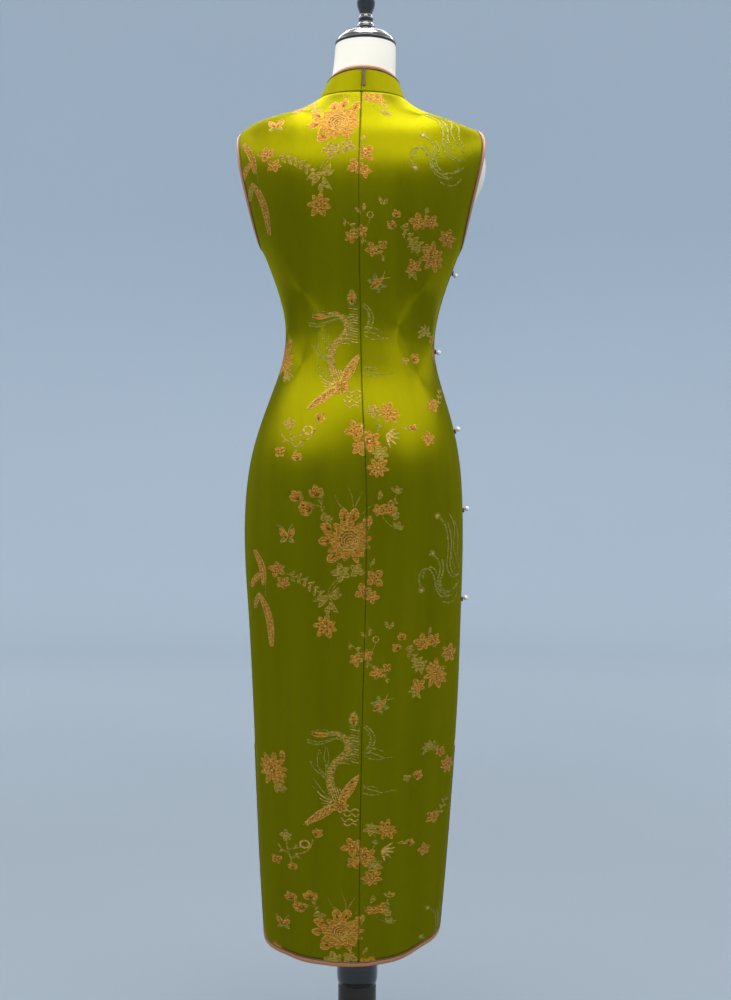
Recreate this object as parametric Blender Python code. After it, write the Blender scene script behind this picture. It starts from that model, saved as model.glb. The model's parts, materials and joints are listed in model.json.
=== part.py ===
"""Sleeveless ankle-length cheongsam, worn by a limbless dress form on a turned stand.

Metres, +Z up. The origin is on the floor, on the stand's axis. The front of the dress faces -Y, so
the wearer's left side is +X and the wearer's right side is -X.

The dress is one worn surface. Its rings run round the body from the hem to the armpits, and from
there round the neck over the shoulders, so a place on it is an angle round the body and a level,
which is the length of cloth from the hem along the side. Every cut piece is a wall of cloth over
its own stretch of angles and levels.
"""

import math
from collections import namedtuple

import bmesh
import bpy
import numpy as np
from mathutils import Matrix, Vector

MM = 0.001
LEFT, RIGHT = 1, -1  # the wearer's sides: +X and -X
BACK, FRONT = 1, -1  # the dress faces: +Y and -Y

# Cloth and seams
CLOTH = 1.4 * MM
COLLAR_CLOTH = 1.6 * MM
SEAM = 0.3 * MM
BINDING = 5.2 * MM  # visible width of the wide bias binding
PIPING = 1.9 * MM  # visible width of the narrow inset piping
EDGE = BINDING + PIPING + 2 * SEAM  # from a finished edge to the cloth that it finishes
BINDING_PROUD = 0.4 * MM
PIPING_PROUD = 0.7 * MM

# Levels, as heights at the side of the body
HEM_Z = 0.200
HEM_RISE = {LEFT: 0.015, RIGHT: 0.030}  # how much higher the hem is at each slit
HEM_CORNER = 8 * MM
SLIT_TOP_Z = 0.510
SLIT_GAPE = 3.0 * MM  # half of the slit's opening at the hem
ARMPIT_Z = 1.252
TIP_Z = {LEFT: 1.4095, RIGHT: 1.4195}  # where the armhole crosses each shoulder
ARMHOLE_REACH = {BACK: 0.040, FRONT: 0.052}
PLACKET_END_Z = 1.222  # where the diagonal edge meets the right side seam
PLACKET_SWEEP = 0.68  # 1 for a straight diagonal, less for one that dips first
PLACKET_BASE_Z = 1.05

# One row for each ring of the dress, from under the hem to the neck seam. squareness is 2 for an
# oval and more for a boxier ring. seam_x is where the centre-back seam crosses it.
Ring = namedtuple(
    "Ring", "side_z back_z front_z half_width centre_x back_depth front_depth squareness seam_x"
)
DRESS_RINGS = (
    Ring(0.190, 0.1900, 0.190, 0.1285, 0.0092, 0.0980, 0.0950, 2.3, -0.0023),
    Ring(0.320, 0.3200, 0.320, 0.1385, 0.0082, 0.0990, 0.0970, 2.3, -0.0022),
    Ring(0.450, 0.4500, 0.450, 0.1466, 0.0072, 0.1005, 0.0990, 2.3, -0.0030),
    Ring(0.580, 0.5800, 0.580, 0.1536, 0.0070, 0.1025, 0.1000, 2.3, -0.0046),
    Ring(0.700, 0.7000, 0.700, 0.1590, 0.0090, 0.1065, 0.1010, 2.3, -0.0070),
    Ring(0.800, 0.8000, 0.800, 0.1632, 0.0112, 0.1155, 0.1035, 2.3, -0.0079),
    Ring(0.870, 0.8700, 0.870, 0.1622, 0.0114, 0.1205, 0.1070, 2.2, -0.0075),
    Ring(0.930, 0.9300, 0.930, 0.1560, 0.0101, 0.1200, 0.1085, 2.2, -0.0050),
    Ring(0.990, 0.9900, 0.990, 0.1415, 0.0081, 0.1100, 0.1065, 2.1, -0.0015),
    Ring(1.040, 1.0400, 1.040, 0.1250, 0.0068, 0.0960, 0.1010, 2.1, 0.0008),
    Ring(1.090, 1.0900, 1.090, 0.1126, 0.0055, 0.0835, 0.0945, 2.1, 0.0026),
    Ring(1.140, 1.1400, 1.140, 0.1142, 0.0038, 0.0795, 0.0930, 2.1, 0.0038),
    Ring(1.190, 1.1900, 1.190, 0.1275, 0.0036, 0.0865, 0.0980, 2.2, 0.0052),
    Ring(1.235, 1.2350, 1.235, 0.1443, 0.0042, 0.0960, 0.1045, 2.3, 0.0063),
    Ring(1.280, 1.2795, 1.275, 0.1613, 0.0053, 0.1030, 0.1075, 2.5, 0.0071),
    Ring(1.325, 1.3230, 1.312, 0.1737, 0.0055, 0.1060, 0.1045, 2.7, 0.0077),
    Ring(1.365, 1.3590, 1.338, 0.1812, 0.0050, 0.1035, 0.0965, 2.8, 0.0078),
    Ring(1.395, 1.3840, 1.354, 0.1832, 0.0042, 0.0965, 0.0870, 2.6, 0.0072),
    Ring(1.413, 1.4010, 1.364, 0.1788, 0.0052, 0.0900, 0.0798, 2.4, 0.0068),
    Ring(1.427, 1.4165, 1.373, 0.1630, 0.0085, 0.0835, 0.0728, 2.2, 0.0064),
    Ring(1.442, 1.4345, 1.382, 0.1211, 0.0080, 0.0762, 0.0656, 2.1, 0.0060),
    Ring(1.457, 1.4515, 1.391, 0.0838, 0.0053, 0.0690, 0.0590, 2.0, 0.0055),
    Ring(1.469, 1.4663, 1.400, 0.0655, 0.0040, 0.0620, 0.0530, 2.0, 0.0052),
)
COLLAR_TOP = Ring(1.500, 1.5070, 1.441, 0.0515, 0.0025, 0.0565, 0.0480, 2.0, 0.0017)

# The form's neck rises out of the dress's neck seam to a level top.
NECK_RINGS = (
    Ring(1.482, 1.4800, 1.425, 0.0530, 0.0030, 0.0530, 0.0455, 2.0, 0.0),
    Ring(1.500, 1.4990, 1.458, 0.0484, 0.0025, 0.0508, 0.0440, 2.0, 0.0),
    Ring(1.525, 1.5250, 1.505, 0.0464, 0.0010, 0.0480, 0.0440, 2.0, 0.0),
    Ring(1.552, 1.5520, 1.552, 0.0452, 0.0000, 0.0452, 0.0452, 2.0, 0.0),
)

# What the body adds to the rings: each bulge pushes its face out by rise, fading over its spread.
Bulge = namedtuple("Bulge", "facing x z spread_x spread_z rise")
BULGES = (
    Bulge(FRONT, 0.084, 1.236, 0.050, 0.050, 0.025),  # left bust
    Bulge(FRONT, -0.076, 1.236, 0.050, 0.050, 0.025),  # right bust
    Bulge(FRONT, 0.004, 1.236, 0.038, 0.052, 0.010),  # cloth that spans the bust
    Bulge(BACK, 0.082, 0.905, 0.055, 0.070, 0.009),  # left seat
    Bulge(BACK, -0.070, 0.905, 0.055, 0.070, 0.009),  # right seat
    Bulge(BACK, 0.088, 1.330, 0.045, 0.055, 0.004),  # left shoulder blade
    Bulge(BACK, -0.076, 1.330, 0.045, 0.055, 0.004),  # right shoulder blade
)

# Long shallow troughs where the skirt hangs free of the form, deepest at the hem.
Trough = namedtuple("Trough", "angle spread depth top_z")
SKIRT_TROUGHS = (
    Trough(38.0, 11.0, 3.0 * MM, 0.66),
    Trough(66.0, 9.0, 2.2 * MM, 0.58),
    Trough(112.0, 10.0, 2.6 * MM, 0.62),
    Trough(146.0, 10.0, 4.0 * MM, 0.70),
    Trough(222.0, 12.0, 3.4 * MM, 0.68),
    Trough(262.0, 9.0, 2.0 * MM, 0.56),
    Trough(304.0, 12.0, 3.0 * MM, 0.66),
)

# Mesh density
QUARTER_COLUMNS = 10
SKIRT_LEVELS_Z = (0.250, 0.310, 0.400)
BODY_LEVELS_Z = (0.61, 0.7225, 0.79, 0.856, 0.915, 0.974, 1.02, 1.058, 1.094, 1.133, 1.172, 1.213)
HEM_STEPS, CORNER_STEPS = 16, 3
ARMHOLE_STEPS = 10
SHOULDER_SHARES = (0.2, 0.4, 0.6, 0.8, 1.0)  # of the way from an armhole to the neck seam
FORM_COLUMNS = 40
FORM_SHOULDER_LEVELS_Z = (1.4225, 1.4275, 1.4325, 1.4385, 1.4455, 1.4555, 1.469)

# Form and stand
FORM_BOTTOM_Z = 0.720
FORM_CLEAR = 2.4 * MM  # between the cloth and the form
FORM_TOUCH = 1.5 * MM  # on the shoulders, which carry the dress
SHOULDER_REST_Z = 1.405
SHOULDER_REST_FADE = 20 * MM
ARM_PLATE_HOLLOW = 7.0 * MM
ARM_PLATE_Z = 1.315
ARM_PLATE_SPREAD_Z = 0.045
ARM_PLATE_SPREAD_TURN = 0.22
TURNED_STEPS = 28
Turn = namedtuple("Turn", "radius z")
NECK_CAP = (
    Turn(0.0000, 1.5525), Turn(0.0456, 1.5525), Turn(0.0462, 1.5560), Turn(0.0440, 1.5610),
    Turn(0.0370, 1.5680), Turn(0.0260, 1.5735), Turn(0.0165, 1.5765), Turn(0.0000, 1.5775),
)
FINIAL = (
    Turn(0.0000, 1.5780), Turn(0.0143, 1.5780), Turn(0.0138, 1.5830), Turn(0.0102, 1.5870),
    Turn(0.0108, 1.5905), Turn(0.0112, 1.5950), Turn(0.0090, 1.5990), Turn(0.0100, 1.6040),
    Turn(0.0130, 1.6110), Turn(0.0140, 1.6190), Turn(0.0132, 1.6270), Turn(0.0105, 1.6350),
    Turn(0.0062, 1.6410), Turn(0.0000, 1.6435),
)
POLE = (Turn(0.0000, 0.2153), Turn(0.0127, 0.2153), Turn(0.0127, 0.7197), Turn(0.0000, 0.7197))
COLUMN = (
    Turn(0.0000, 0.0303), Turn(0.0285, 0.0303), Turn(0.0285, 0.1420), Turn(0.0272, 0.1440),
    Turn(0.0290, 0.1465), Turn(0.0304, 0.1520), Turn(0.0308, 0.1620), Turn(0.0304, 0.1720),
    Turn(0.0290, 0.1775), Turn(0.0272, 0.1800), Turn(0.0272, 0.1860), Turn(0.0240, 0.1980),
    Turn(0.0190, 0.2080), Turn(0.0150, 0.2150), Turn(0.0000, 0.2150),
)
BASE = (
    Turn(0.0000, 0.0000), Turn(0.1960, 0.0000), Turn(0.2000, 0.0040), Turn(0.2000, 0.0090),
    Turn(0.1960, 0.0130), Turn(0.1200, 0.0165), Turn(0.0560, 0.0200), Turn(0.0440, 0.0240),
    Turn(0.0400, 0.0300), Turn(0.0000, 0.0300),
)

# Fastenings
ZIP_END_Z = 0.930
ZIP_WIDTH = 5.0 * MM
ZIP_THICK = 0.8 * MM
ZIP_BEHIND = 0.6 * MM  # between the cloth and the tape
SLIDER = Vector((4.4, 2.0, 8.0)) * MM  # across, out and up
SLIDER_BELOW_TOP = 6.5 * MM  # middle of the slider under the collar's top edge
SLIDER_SEAT = BINDING_PROUD + PIPING_PROUD + SEAM  # the slider's back, off the collar's face
BRIDGE_RADIUS = 2.6 * MM
BRIDGE_WIRE = 0.55 * MM
BRIDGE_SUNK = 0.3 * MM  # how deep its feet go into the slider
BRIDGE_STEPS, BRIDGE_SIDES = 8, 6
TAB_AXIS_OUT = 1.05 * MM  # hinge axis above the slider's face
TAB_WIDTH, TAB_LENGTH, TAB_THICK = 4.8 * MM, 25.0 * MM, 0.9 * MM
TAB_EYE_WIDTH, TAB_EYE_LENGTH = 2.6 * MM, 8.0 * MM
TAB_CORNER = 1.6 * MM
TAB_TIP_CLEAR = 0.8 * MM
FROG_SIDE_Z = (1.213, 1.094, 0.974, 0.856, 0.7225)
FROG_NECK_DROP = 10 * MM  # the frog at the collar's foot, under the neck seam
FROG_PLACKET_COLUMN = 6
FROG_BALL_SHIFT = (-2.0, -2.0, 2.0, 2.0, 2.0, -1.5, -1.5)  # mm up the edge, as each has settled
FROG_CORD = 1.15 * MM
FROG_LOOP = 2.7 * MM
FROG_BALL = 3.6 * MM
FROG_LOOP_STEPS, FROG_CORD_SIDES = 9, 6

# Colours
LIME = (0.33, 0.40, 0.005)
PEACH = (0.72, 0.38, 0.14)
BROWN = (0.045, 0.016, 0.008)
PEARL = (0.78, 0.76, 0.70)
BRASS = (0.62, 0.52, 0.36)
WHITE = (0.82, 0.82, 0.78)
BLACK = (0.008, 0.008, 0.009)
CHARCOAL = (0.045, 0.045, 0.038)


# ---------------------------------------------------------------- the worn surface


def smooth_through(knots, values):
    """A natural cubic spline through a table's values, as a function of the knots' measure."""
    count = len(knots)
    steps = np.diff(knots)
    slopes = np.diff(values) / steps
    matrix = np.eye(count)
    right = np.zeros(count)
    for i in range(1, count - 1):
        matrix[i, i - 1 : i + 2] = steps[i - 1], 2 * (steps[i - 1] + steps[i]), steps[i]
        right[i] = 6 * (slopes[i] - slopes[i - 1])
    bend = np.linalg.solve(matrix, right)

    def value(at):
        i = np.clip(np.searchsorted(knots, at) - 1, 0, count - 2)
        before, after, step = at - knots[i], knots[i + 1] - at, steps[i]
        return (
            (bend[i] * after**3 + bend[i + 1] * before**3) / (6 * step)
            + (values[i] / step - bend[i] * step / 6) * after
            + (values[i + 1] / step - bend[i + 1] * step / 6) * before
        )

    return value


class Rings:
    """A closed surface through a table of rings. A level is the length along its side."""

    def __init__(self, rings):
        table = np.array(rings)
        side = table[:, [Ring._fields.index("side_z"), Ring._fields.index("half_width")]]
        steps = np.linalg.norm(np.diff(side, axis=0), axis=1)
        self.knots = np.concatenate([[0.0], np.cumsum(steps)])
        self.top = self.knots[-1]
        self.column = {
            name: smooth_through(self.knots, table[:, i]) for i, name in enumerate(Ring._fields)
        }
        self.fine = np.linspace(0.0, self.top, 4000)
        self.fine_z = self.column["side_z"](self.fine)

    def level(self, side_z):
        """The level at which the side of the body is this high."""
        return float(np.interp(side_z, self.fine_z, self.fine))

    def half_width(self, level):
        return float(self.column["half_width"](level))

    def points(self, angle, level):
        """The surface's points, for arrays of angles (radians from +X, towards the back) and levels."""
        ring = {name: value(level) for name, value in self.column.items()}
        return ring_points(ring, angle)


def ring_points(ring, angle):
    c, s = np.cos(angle), np.sin(angle)
    behind = s >= 0
    depth = np.where(behind, ring["back_depth"], ring["front_depth"])
    end_z = np.where(behind, ring["back_z"], ring["front_z"])
    n = ring["squareness"]
    radius = (np.abs(c / ring["half_width"]) ** n + np.abs(s / depth) ** n) ** (-1 / n)
    z = ring["side_z"] * c**2 + end_z * s**2
    return np.stack([ring["centre_x"] + radius * c, radius * s, z], axis=-1)


BODY = Rings(DRESS_RINGS)


def dress_points(angle, level):
    """Points of the dress's outer face: the rings, the body's bulges and the skirt's troughs."""
    angle, level = np.broadcast_arrays(np.asarray(angle, float), np.asarray(level, float))
    points = BODY.points(angle, level)
    x, z = points[..., 0].copy(), points[..., 2].copy()
    facing_share = np.sin(angle)
    for bulge in BULGES:
        share = np.clip(bulge.facing * facing_share, 0, 1)
        fade = ((x - bulge.x) / bulge.spread_x) ** 2 + ((z - bulge.z) / bulge.spread_z) ** 2
        points[..., 1] += bulge.facing * bulge.rise * share * np.exp(-fade)
    outward = np.stack([np.cos(angle), np.sin(angle)], axis=-1)
    for trough in SKIRT_TROUGHS:
        around = np.degrees(angle) % 360 - trough.angle
        hang = np.clip((trough.top_z - z) / (trough.top_z - HEM_Z), 0, 1.1)
        depth = trough.depth * np.exp(-((around / trough.spread) ** 2)) * hang**1.5
        points[..., :2] -= depth[..., None] * outward
    return points


def normals(surface, angle, level):
    """Outward unit normals of a surface, by small steps along it."""
    step = 1e-4
    along = surface(angle + step, level) - surface(angle - step, level)
    up = surface(angle, level + step) - surface(angle, level - step)
    normal = np.cross(along, up)
    return normal / np.linalg.norm(normal, axis=-1, keepdims=True)


def collar_points(angle, height):
    """Points of the collar's outer face. height runs from 0 at the neck seam to 1 at the top."""
    angle, height = np.broadcast_arrays(np.asarray(angle, float), np.asarray(height, float))
    rim = {name: np.full(angle.shape, value) for name, value in COLLAR_TOP._asdict().items()}
    top = ring_points(rim, angle)
    bottom = dress_points(angle, np.full(angle.shape, BODY.top))
    return bottom + (top - bottom) * height[..., None]


def around(side, offset):
    """The angle that lies this far (radians) behind a side of the body."""
    return offset if side == LEFT else math.pi - offset


def turn(length, level):
    """The angle that a short length round the side takes up at this level."""
    return length / BODY.half_width(level)


def seam_offset(side, level, gap=SEAM / 2):
    """How far (radians) the centre-back seam is behind a side, less half a seam's gap."""
    depth = float(BODY.column["back_depth"](level))
    shift = float(BODY.column["seam_x"](level)) - float(BODY.column["centre_x"](level))
    return math.pi / 2 - (side * shift + gap) / depth


def slit_offset(level):
    """Half of the slit's opening (radians), which grows towards the hem."""
    top, bottom = BODY.level(SLIT_TOP_Z), BODY.level(HEM_Z)
    share = max(0.0, (top - level) / (top - bottom))
    return turn(SEAM / 2 + SLIT_GAPE * share**1.5, level)


def hem_level(angle):
    """The hem's level: lowest at the middle of the front and the back, higher at each slit."""
    c = math.cos(angle)
    rise = HEM_RISE[LEFT] if c > 0 else HEM_RISE[RIGHT]
    return BODY.level(HEM_Z + rise * abs(c) ** 3)


def armhole_place(side, sweep, outset):
    """A place on an armhole's oval, let out by outset: sweep runs from the armpit round the back."""
    low, high = BODY.level(ARMPIT_Z), BODY.level(TIP_Z[side])
    level = (low + high) / 2 - ((high - low) / 2 + outset) * math.cos(sweep)
    face = BACK if math.sin(sweep) >= 0 else FRONT
    reach = (ARMHOLE_REACH[face] + outset) * math.sin(sweep)
    return around(side, turn(reach, level)), level


# ---------------------------------------------------------------- walls and meshes


def new_object(name, mesh_data, colour, roughness, metallic=0.0):
    mesh = bpy.data.meshes.new(name)
    mesh_data.to_mesh(mesh)
    mesh_data.free()
    mesh.shade_smooth()
    mesh.set_sharp_from_angle(angle=math.radians(40))
    material = bpy.data.materials.new(name)
    material.use_nodes = True
    shader = material.node_tree.nodes["Principled BSDF"]
    shader.inputs["Base Color"].default_value = (*colour, 1.0)
    shader.inputs["Roughness"].default_value = roughness
    shader.inputs["Metallic"].default_value = metallic
    mesh.materials.append(material)
    thing = bpy.data.objects.new(name, mesh)
    bpy.context.scene.collection.objects.link(thing)
    return thing


def wall(name, surface, places, thick, colour, roughness=0.35, proud=0.0, closed=False):
    """A wall of cloth over a grid of (angle, level) places. Its columns run right to left as seen
    from outside when they run along growing angles; closed joins the last row to the first."""
    grid = np.array(places)
    angle, level = grid[..., 0], grid[..., 1]
    points, normal = surface(angle, level), normals(surface, angle, level)
    outer, inner = points + proud * normal, points - (thick - proud) * normal
    rows, columns = angle.shape
    mesh = bmesh.new()
    faces_of = [
        [[mesh.verts.new(tuple(p)) for p in row] for row in skin] for skin in (outer, inner)
    ]
    turns = rows if closed else rows - 1
    for r in range(turns):
        s = (r + 1) % rows
        for c in range(columns - 1):
            for skin in faces_of:
                mesh.faces.new((skin[r][c], skin[r][c + 1], skin[s][c + 1], skin[s][c]))
        for c in (0, columns - 1):
            (a, b), (d, e) = ((skin[r][c], skin[s][c]) for skin in faces_of)
            mesh.faces.new((a, b, e, d))
    if not closed:
        for r in (0, rows - 1):
            for c in range(columns - 1):
                a, b = faces_of[0][r], faces_of[1][r]
                mesh.faces.new((a[c], a[c + 1], b[c + 1], b[c]))
    bmesh.ops.recalc_face_normals(mesh, faces=mesh.faces)
    return new_object(name, mesh, colour, roughness)


def join_rings(mesh, rings):
    """Faces between each ring of corners and the next."""
    for a, b in zip(rings, rings[1:]):
        for k in range(len(a)):
            m = (k + 1) % len(a)
            mesh.faces.new((a[k], a[m], b[m], b[k]))


def turned(name, profile, colour, roughness, metallic=0.0, steps=TURNED_STEPS):
    """A turned piece: its profile, from one end of the axis to the other, spun round Z."""
    mesh = bmesh.new()
    corners = [mesh.verts.new((p.radius, 0.0, p.z)) for p in profile]
    edges = [mesh.edges.new(pair) for pair in zip(corners, corners[1:])]
    bmesh.ops.spin(
        mesh, geom=corners + edges, axis=(0, 0, 1), cent=(0, 0, 0), angle=math.tau, steps=steps
    )
    bmesh.ops.remove_doubles(mesh, verts=mesh.verts, dist=1e-6)
    bmesh.ops.recalc_face_normals(mesh, faces=mesh.faces)
    return new_object(name, mesh, colour, roughness, metallic)


# ---------------------------------------------------------------- cut pieces of the dress


def side_rows(side, face, seam_edge):
    """(level, offset) down a half panel's outer edge, from the hem to the neck seam.

    seam_edge is the length that the piece keeps clear of the side line above the slit."""
    slit_top = BODY.level(SLIT_TOP_Z)
    hem = hem_level(around(side, 0.0)) + EDGE
    slit = [hem, *map(BODY.level, SKIRT_LEVELS_Z), slit_top - EDGE]
    rows = [(level, slit_offset(level) + turn(EDGE, level)) for level in slit]
    seam = [slit_top + SEAM, *map(BODY.level, BODY_LEVELS_Z)]
    rows += [(level, turn(seam_edge, level)) for level in seam]
    for step in range(ARMHOLE_STEPS + 1):
        sweep = math.pi * step / ARMHOLE_STEPS
        _, level = armhole_place(side, sweep, EDGE)
        reach = (ARMHOLE_REACH[face] + EDGE) * math.sin(sweep)
        rows.append((level, turn(max(reach, seam_edge), level)))
    tip = rows[-1][0]
    shoulder = [tip + (BODY.top - tip) * share for share in SHOULDER_SHARES]
    return rows + [(level, turn(seam_edge, level)) for level in shoulder]


def column_offset(middle, edge, level, share):
    """How far behind or before a side a panel's column lies. The columns nearest the middle keep
    their own lines where the armhole cuts into the panel's edge."""
    seam = math.copysign(turn(SEAM / 2, level), middle)
    return middle + (seam - middle) * share + (edge - seam) * share**3


def back_half(name, side):
    places = []
    for index, (level, edge) in enumerate(side_rows(side, BACK, SEAM / 2)):
        middle = seam_offset(side, level)
        row = []
        for column in range(QUARTER_COLUMNS + 1):
            angle = around(side, column_offset(middle, edge, level, column / QUARTER_COLUMNS))
            row.append((angle, hem_level(angle) + EDGE if index == 0 else level))
        places.append(row)
    return wall(name, dress_points, places, CLOTH, LIME)


def placket(distance=0.0):
    """The diagonal edge of the main front, from the collar to the right side seam, moved outwards
    by distance along the surface."""
    start, end = BODY.top, BODY.level(PLACKET_END_Z)
    path = []
    for column in range(QUARTER_COLUMNS + 1):
        share = column / QUARTER_COLUMNS
        path.append((math.pi * (1.5 - 0.5 * share), start - (start - end) * share**PLACKET_SWEEP))
    if not distance:
        return path
    moved = []
    for i, (angle, level) in enumerate(path):
        before, after = path[max(i - 1, 0)], path[min(i + 1, len(path) - 1)]
        da, dl = after[0] - before[0], after[1] - before[1]
        step = 1e-4
        here = dress_points(angle, level)
        side_way = (dress_points(angle + step, level) - here) / step
        up_way = (here - dress_points(angle, level - step)) / step
        e, f, g = side_way @ side_way, side_way @ up_way, up_way @ up_way
        length = math.sqrt(e * da * da + 2 * f * da * dl + g * dl * dl)
        scale = distance / (length * math.sqrt(e * g - f * f))
        moved.append((angle + scale * (f * da + g * dl), level - scale * (e * da + f * dl)))
    moved[0] = (moved[0][0], start)
    moved[-1] = (math.pi + SEAM / 2 / BODY.half_width(moved[-1][1]), moved[-1][1])
    return moved


def front_main():
    """The whole front but for its small right part. Right of the middle its rows drop, from the
    waist up, until the last one lies along the diagonal edge."""
    left = side_rows(LEFT, FRONT, SEAM / 2)
    base = BODY.level(PLACKET_BASE_Z)
    edge = placket()
    places = []
    for index, (level, left_edge) in enumerate(left):
        row = []
        lifted = max(level - base, 0.0) / (BODY.top - base)
        for column in range(QUARTER_COLUMNS, 0, -1):
            share = column / QUARTER_COLUMNS
            here = level + lifted * (edge[column][1] - BODY.top)
            if here > BODY.level(SLIT_TOP_Z):
                right_edge = turn(SEAM / 2 + PIPING + SEAM, here)
            else:
                right_edge = slit_offset(here) + turn(EDGE, here)
            offset = -math.pi / 2 + (math.pi / 2 - right_edge) * share
            row.append((around(RIGHT, offset), here))
        for column in range(QUARTER_COLUMNS + 1):
            offset = column_offset(-math.pi / 2, -left_edge, level, column / QUARTER_COLUMNS)
            row.append((math.tau + offset, level))
        if index == 0:
            row = [(angle, hem_level(angle) + EDGE) for angle, _ in row]
        places.append(row)
    return wall("front_main", dress_points, places, CLOTH, LIME)


def between(a, b, share):
    return a[0] + (b[0] - a[0]) * share, a[1] + (b[1] - a[1]) * share


def front_right():
    """The small right front: a patch between the diagonal edge, the neck, the shoulder seam and the
    armhole."""
    bottom = placket(EDGE + SEAM)
    count = len(bottom) - 1
    steps = ARMHOLE_STEPS + 1
    shoulder_start = (math.pi + turn(SEAM / 2, BODY.top), BODY.top)
    _, tip = armhole_place(RIGHT, math.pi, EDGE)
    shoulder_end = (math.pi + turn(SEAM / 2, tip), tip)
    armpit = BODY.level(ARMPIT_Z) - EDGE
    places = []
    for r in range(steps + 1):
        up = r / steps
        neck = (bottom[0][0] + (shoulder_start[0] - bottom[0][0]) * up, BODY.top)
        if r == 0:
            arm = bottom[-1]
        elif r == 1:
            arm = (math.pi + turn(SEAM / 2, armpit), armpit)
        else:
            angle, level = armhole_place(RIGHT, -math.pi * (r - 1) / ARMHOLE_STEPS, EDGE)
            arm = (max(angle, math.pi + turn(SEAM / 2, level)), level)
        row = []
        for c in range(count + 1):
            share = c / count
            low = bottom[c]
            high = between(shoulder_start, shoulder_end, share)
            across = between(neck, arm, share)
            upward = between(low, high, up)
            corners = between(between(bottom[0], bottom[-1], share), high, up)
            row.append((across[0] + upward[0] - corners[0], across[1] + upward[1] - corners[1]))
        places.append(row)
    return wall("front_right", dress_points, places, CLOTH, LIME)


# ---------------------------------------------------------------- bindings and pipings


def slit_and_hem(face, inset):
    """The finished edge of one skirt panel, moved in by inset: down the left slit, along the hem and
    up the right slit, with rounded corners."""
    path = []
    slit_top = BODY.level(SLIT_TOP_Z)
    corner = max(HEM_CORNER - inset, 0.6 * MM)
    for side in (LEFT, RIGHT):
        low = hem_level(around(side, 0.0)) + inset
        arm = []
        for level in (slit_top - inset, *map(BODY.level, reversed(SKIRT_LEVELS_Z)), low + corner):
            arm.append((around(side, face * (slit_offset(level) + turn(inset, level))), level))
        for step in range(1, CORNER_STEPS + 1):
            bend = math.pi / 2 * step / CORNER_STEPS
            level = low + corner * (1 - math.sin(bend))
            across = slit_offset(level) + turn(inset + corner * (1 - math.cos(bend)), level)
            angle = around(side, face * across)
            level += hem_level(angle) - hem_level(around(side, 0.0))
            arm.append((angle, level))
        path.append(arm)
    left, right = path
    first, last = left[-1][0], right[-1][0]
    if face == FRONT:
        last -= math.tau
    hem = []
    for step in range(1, HEM_STEPS):
        angle = first + (last - first) * step / HEM_STEPS
        hem.append((angle, hem_level(angle) + inset))
    if face == FRONT:
        right = [(angle - math.tau, level) for angle, level in right]
    return left + hem + right[::-1]


def band(name, surface, near, far, thick, colour, proud, closed=False):
    places = [[a, b] for a, b in zip(near, far)]
    return wall(name, surface, places, thick, colour, 0.4, proud, closed)


def edge_bands(label, path, surface=dress_points, wide=BINDING, thick=CLOTH, closed=False):
    """A wide binding along path(0) and the narrow piping inside it. path(inset) is the edge's line,
    moved in by inset."""
    near, far = wide + SEAM, wide + SEAM + PIPING
    band(f"binding_{label}", surface, path(0.0), path(wide), thick, PEACH, BINDING_PROUD, closed)
    band(f"piping_{label}", surface, path(near), path(far), thick, BROWN, PIPING_PROUD, closed)


def armhole_path(side, inset):
    sweeps = [math.pi * step / ARMHOLE_STEPS for step in range(2 * ARMHOLE_STEPS)]
    return [armhole_place(side, sweep, inset) for sweep in sweeps]


def side_closure():
    """The piping down the main front's right edge, from the diagonal edge to the slit."""
    places = []
    for level in (BODY.level(SLIT_TOP_Z) + SEAM, *map(BODY.level, (*BODY_LEVELS_Z, PLACKET_END_Z))):
        near, far = turn(SEAM / 2, level), turn(SEAM / 2 + PIPING, level)
        places.append([(math.pi + near, level), (math.pi + far, level)])
    return wall("piping_side_closure", dress_points, places, CLOTH, BROWN, 0.4, PIPING_PROUD)


# ---------------------------------------------------------------- collar

COLLAR_HEIGHT = 0.041
COLLAR_SEAM = 0.012  # the share of the collar's height that the neck seam's gap takes
COLLAR_FRONT_ROUND = 0.020
COLLAR_FRONT_LEAN = 0.10  # how fast the front edges part as they rise
COLLAR_BINDING = 4.2 * MM
COLLAR_EDGE = COLLAR_BINDING + PIPING + 2 * SEAM
COLLAR_COLUMNS = 14
COLLAR_HEIGHTS = (0.0, 0.2, 0.4, 0.6, 0.75, 0.85, 0.92, 0.97, 1.0)


def collar_back_offset(side, height, gap=SEAM / 2):
    bottom, top = DRESS_RINGS[-1], COLLAR_TOP
    shift = (bottom.seam_x - bottom.centre_x) * (1 - height) + (top.seam_x - top.centre_x) * height
    depth = bottom.back_depth * (1 - height) + top.back_depth * height
    return math.pi / 2 - (side * shift + gap) / depth


def collar_front_offset(height):
    """How far (radians) the collar's rounded front edge is before the side, at a height."""
    rise = height * COLLAR_HEIGHT
    over = max(0.0, rise - (COLLAR_HEIGHT - COLLAR_FRONT_ROUND))
    rounded = (COLLAR_FRONT_ROUND - math.sqrt(COLLAR_FRONT_ROUND**2 - over**2)) / 2
    parted = COLLAR_FRONT_LEAN * rise**2 / COLLAR_HEIGHT
    return math.pi / 2 - (SEAM / 2 + parted + rounded) / DRESS_RINGS[-1].front_depth


def collar_rim(side, inset):
    """The collar's finished edge: from the zip along the top and round the front end."""
    top = 1.0 - inset / COLLAR_HEIGHT
    let_in = inset / COLLAR_TOP.front_depth
    back, front = collar_back_offset(side, 1.0), let_in - collar_front_offset(1.0)
    path = []
    for column in range(COLLAR_COLUMNS + 1):
        path.append((around(side, back + (front - back) * column / COLLAR_COLUMNS), top))
    for height in reversed(COLLAR_HEIGHTS[:-1]):
        level = max(height * top, COLLAR_SEAM)
        path.append((around(side, let_in - collar_front_offset(height)), level))
    return path


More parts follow.
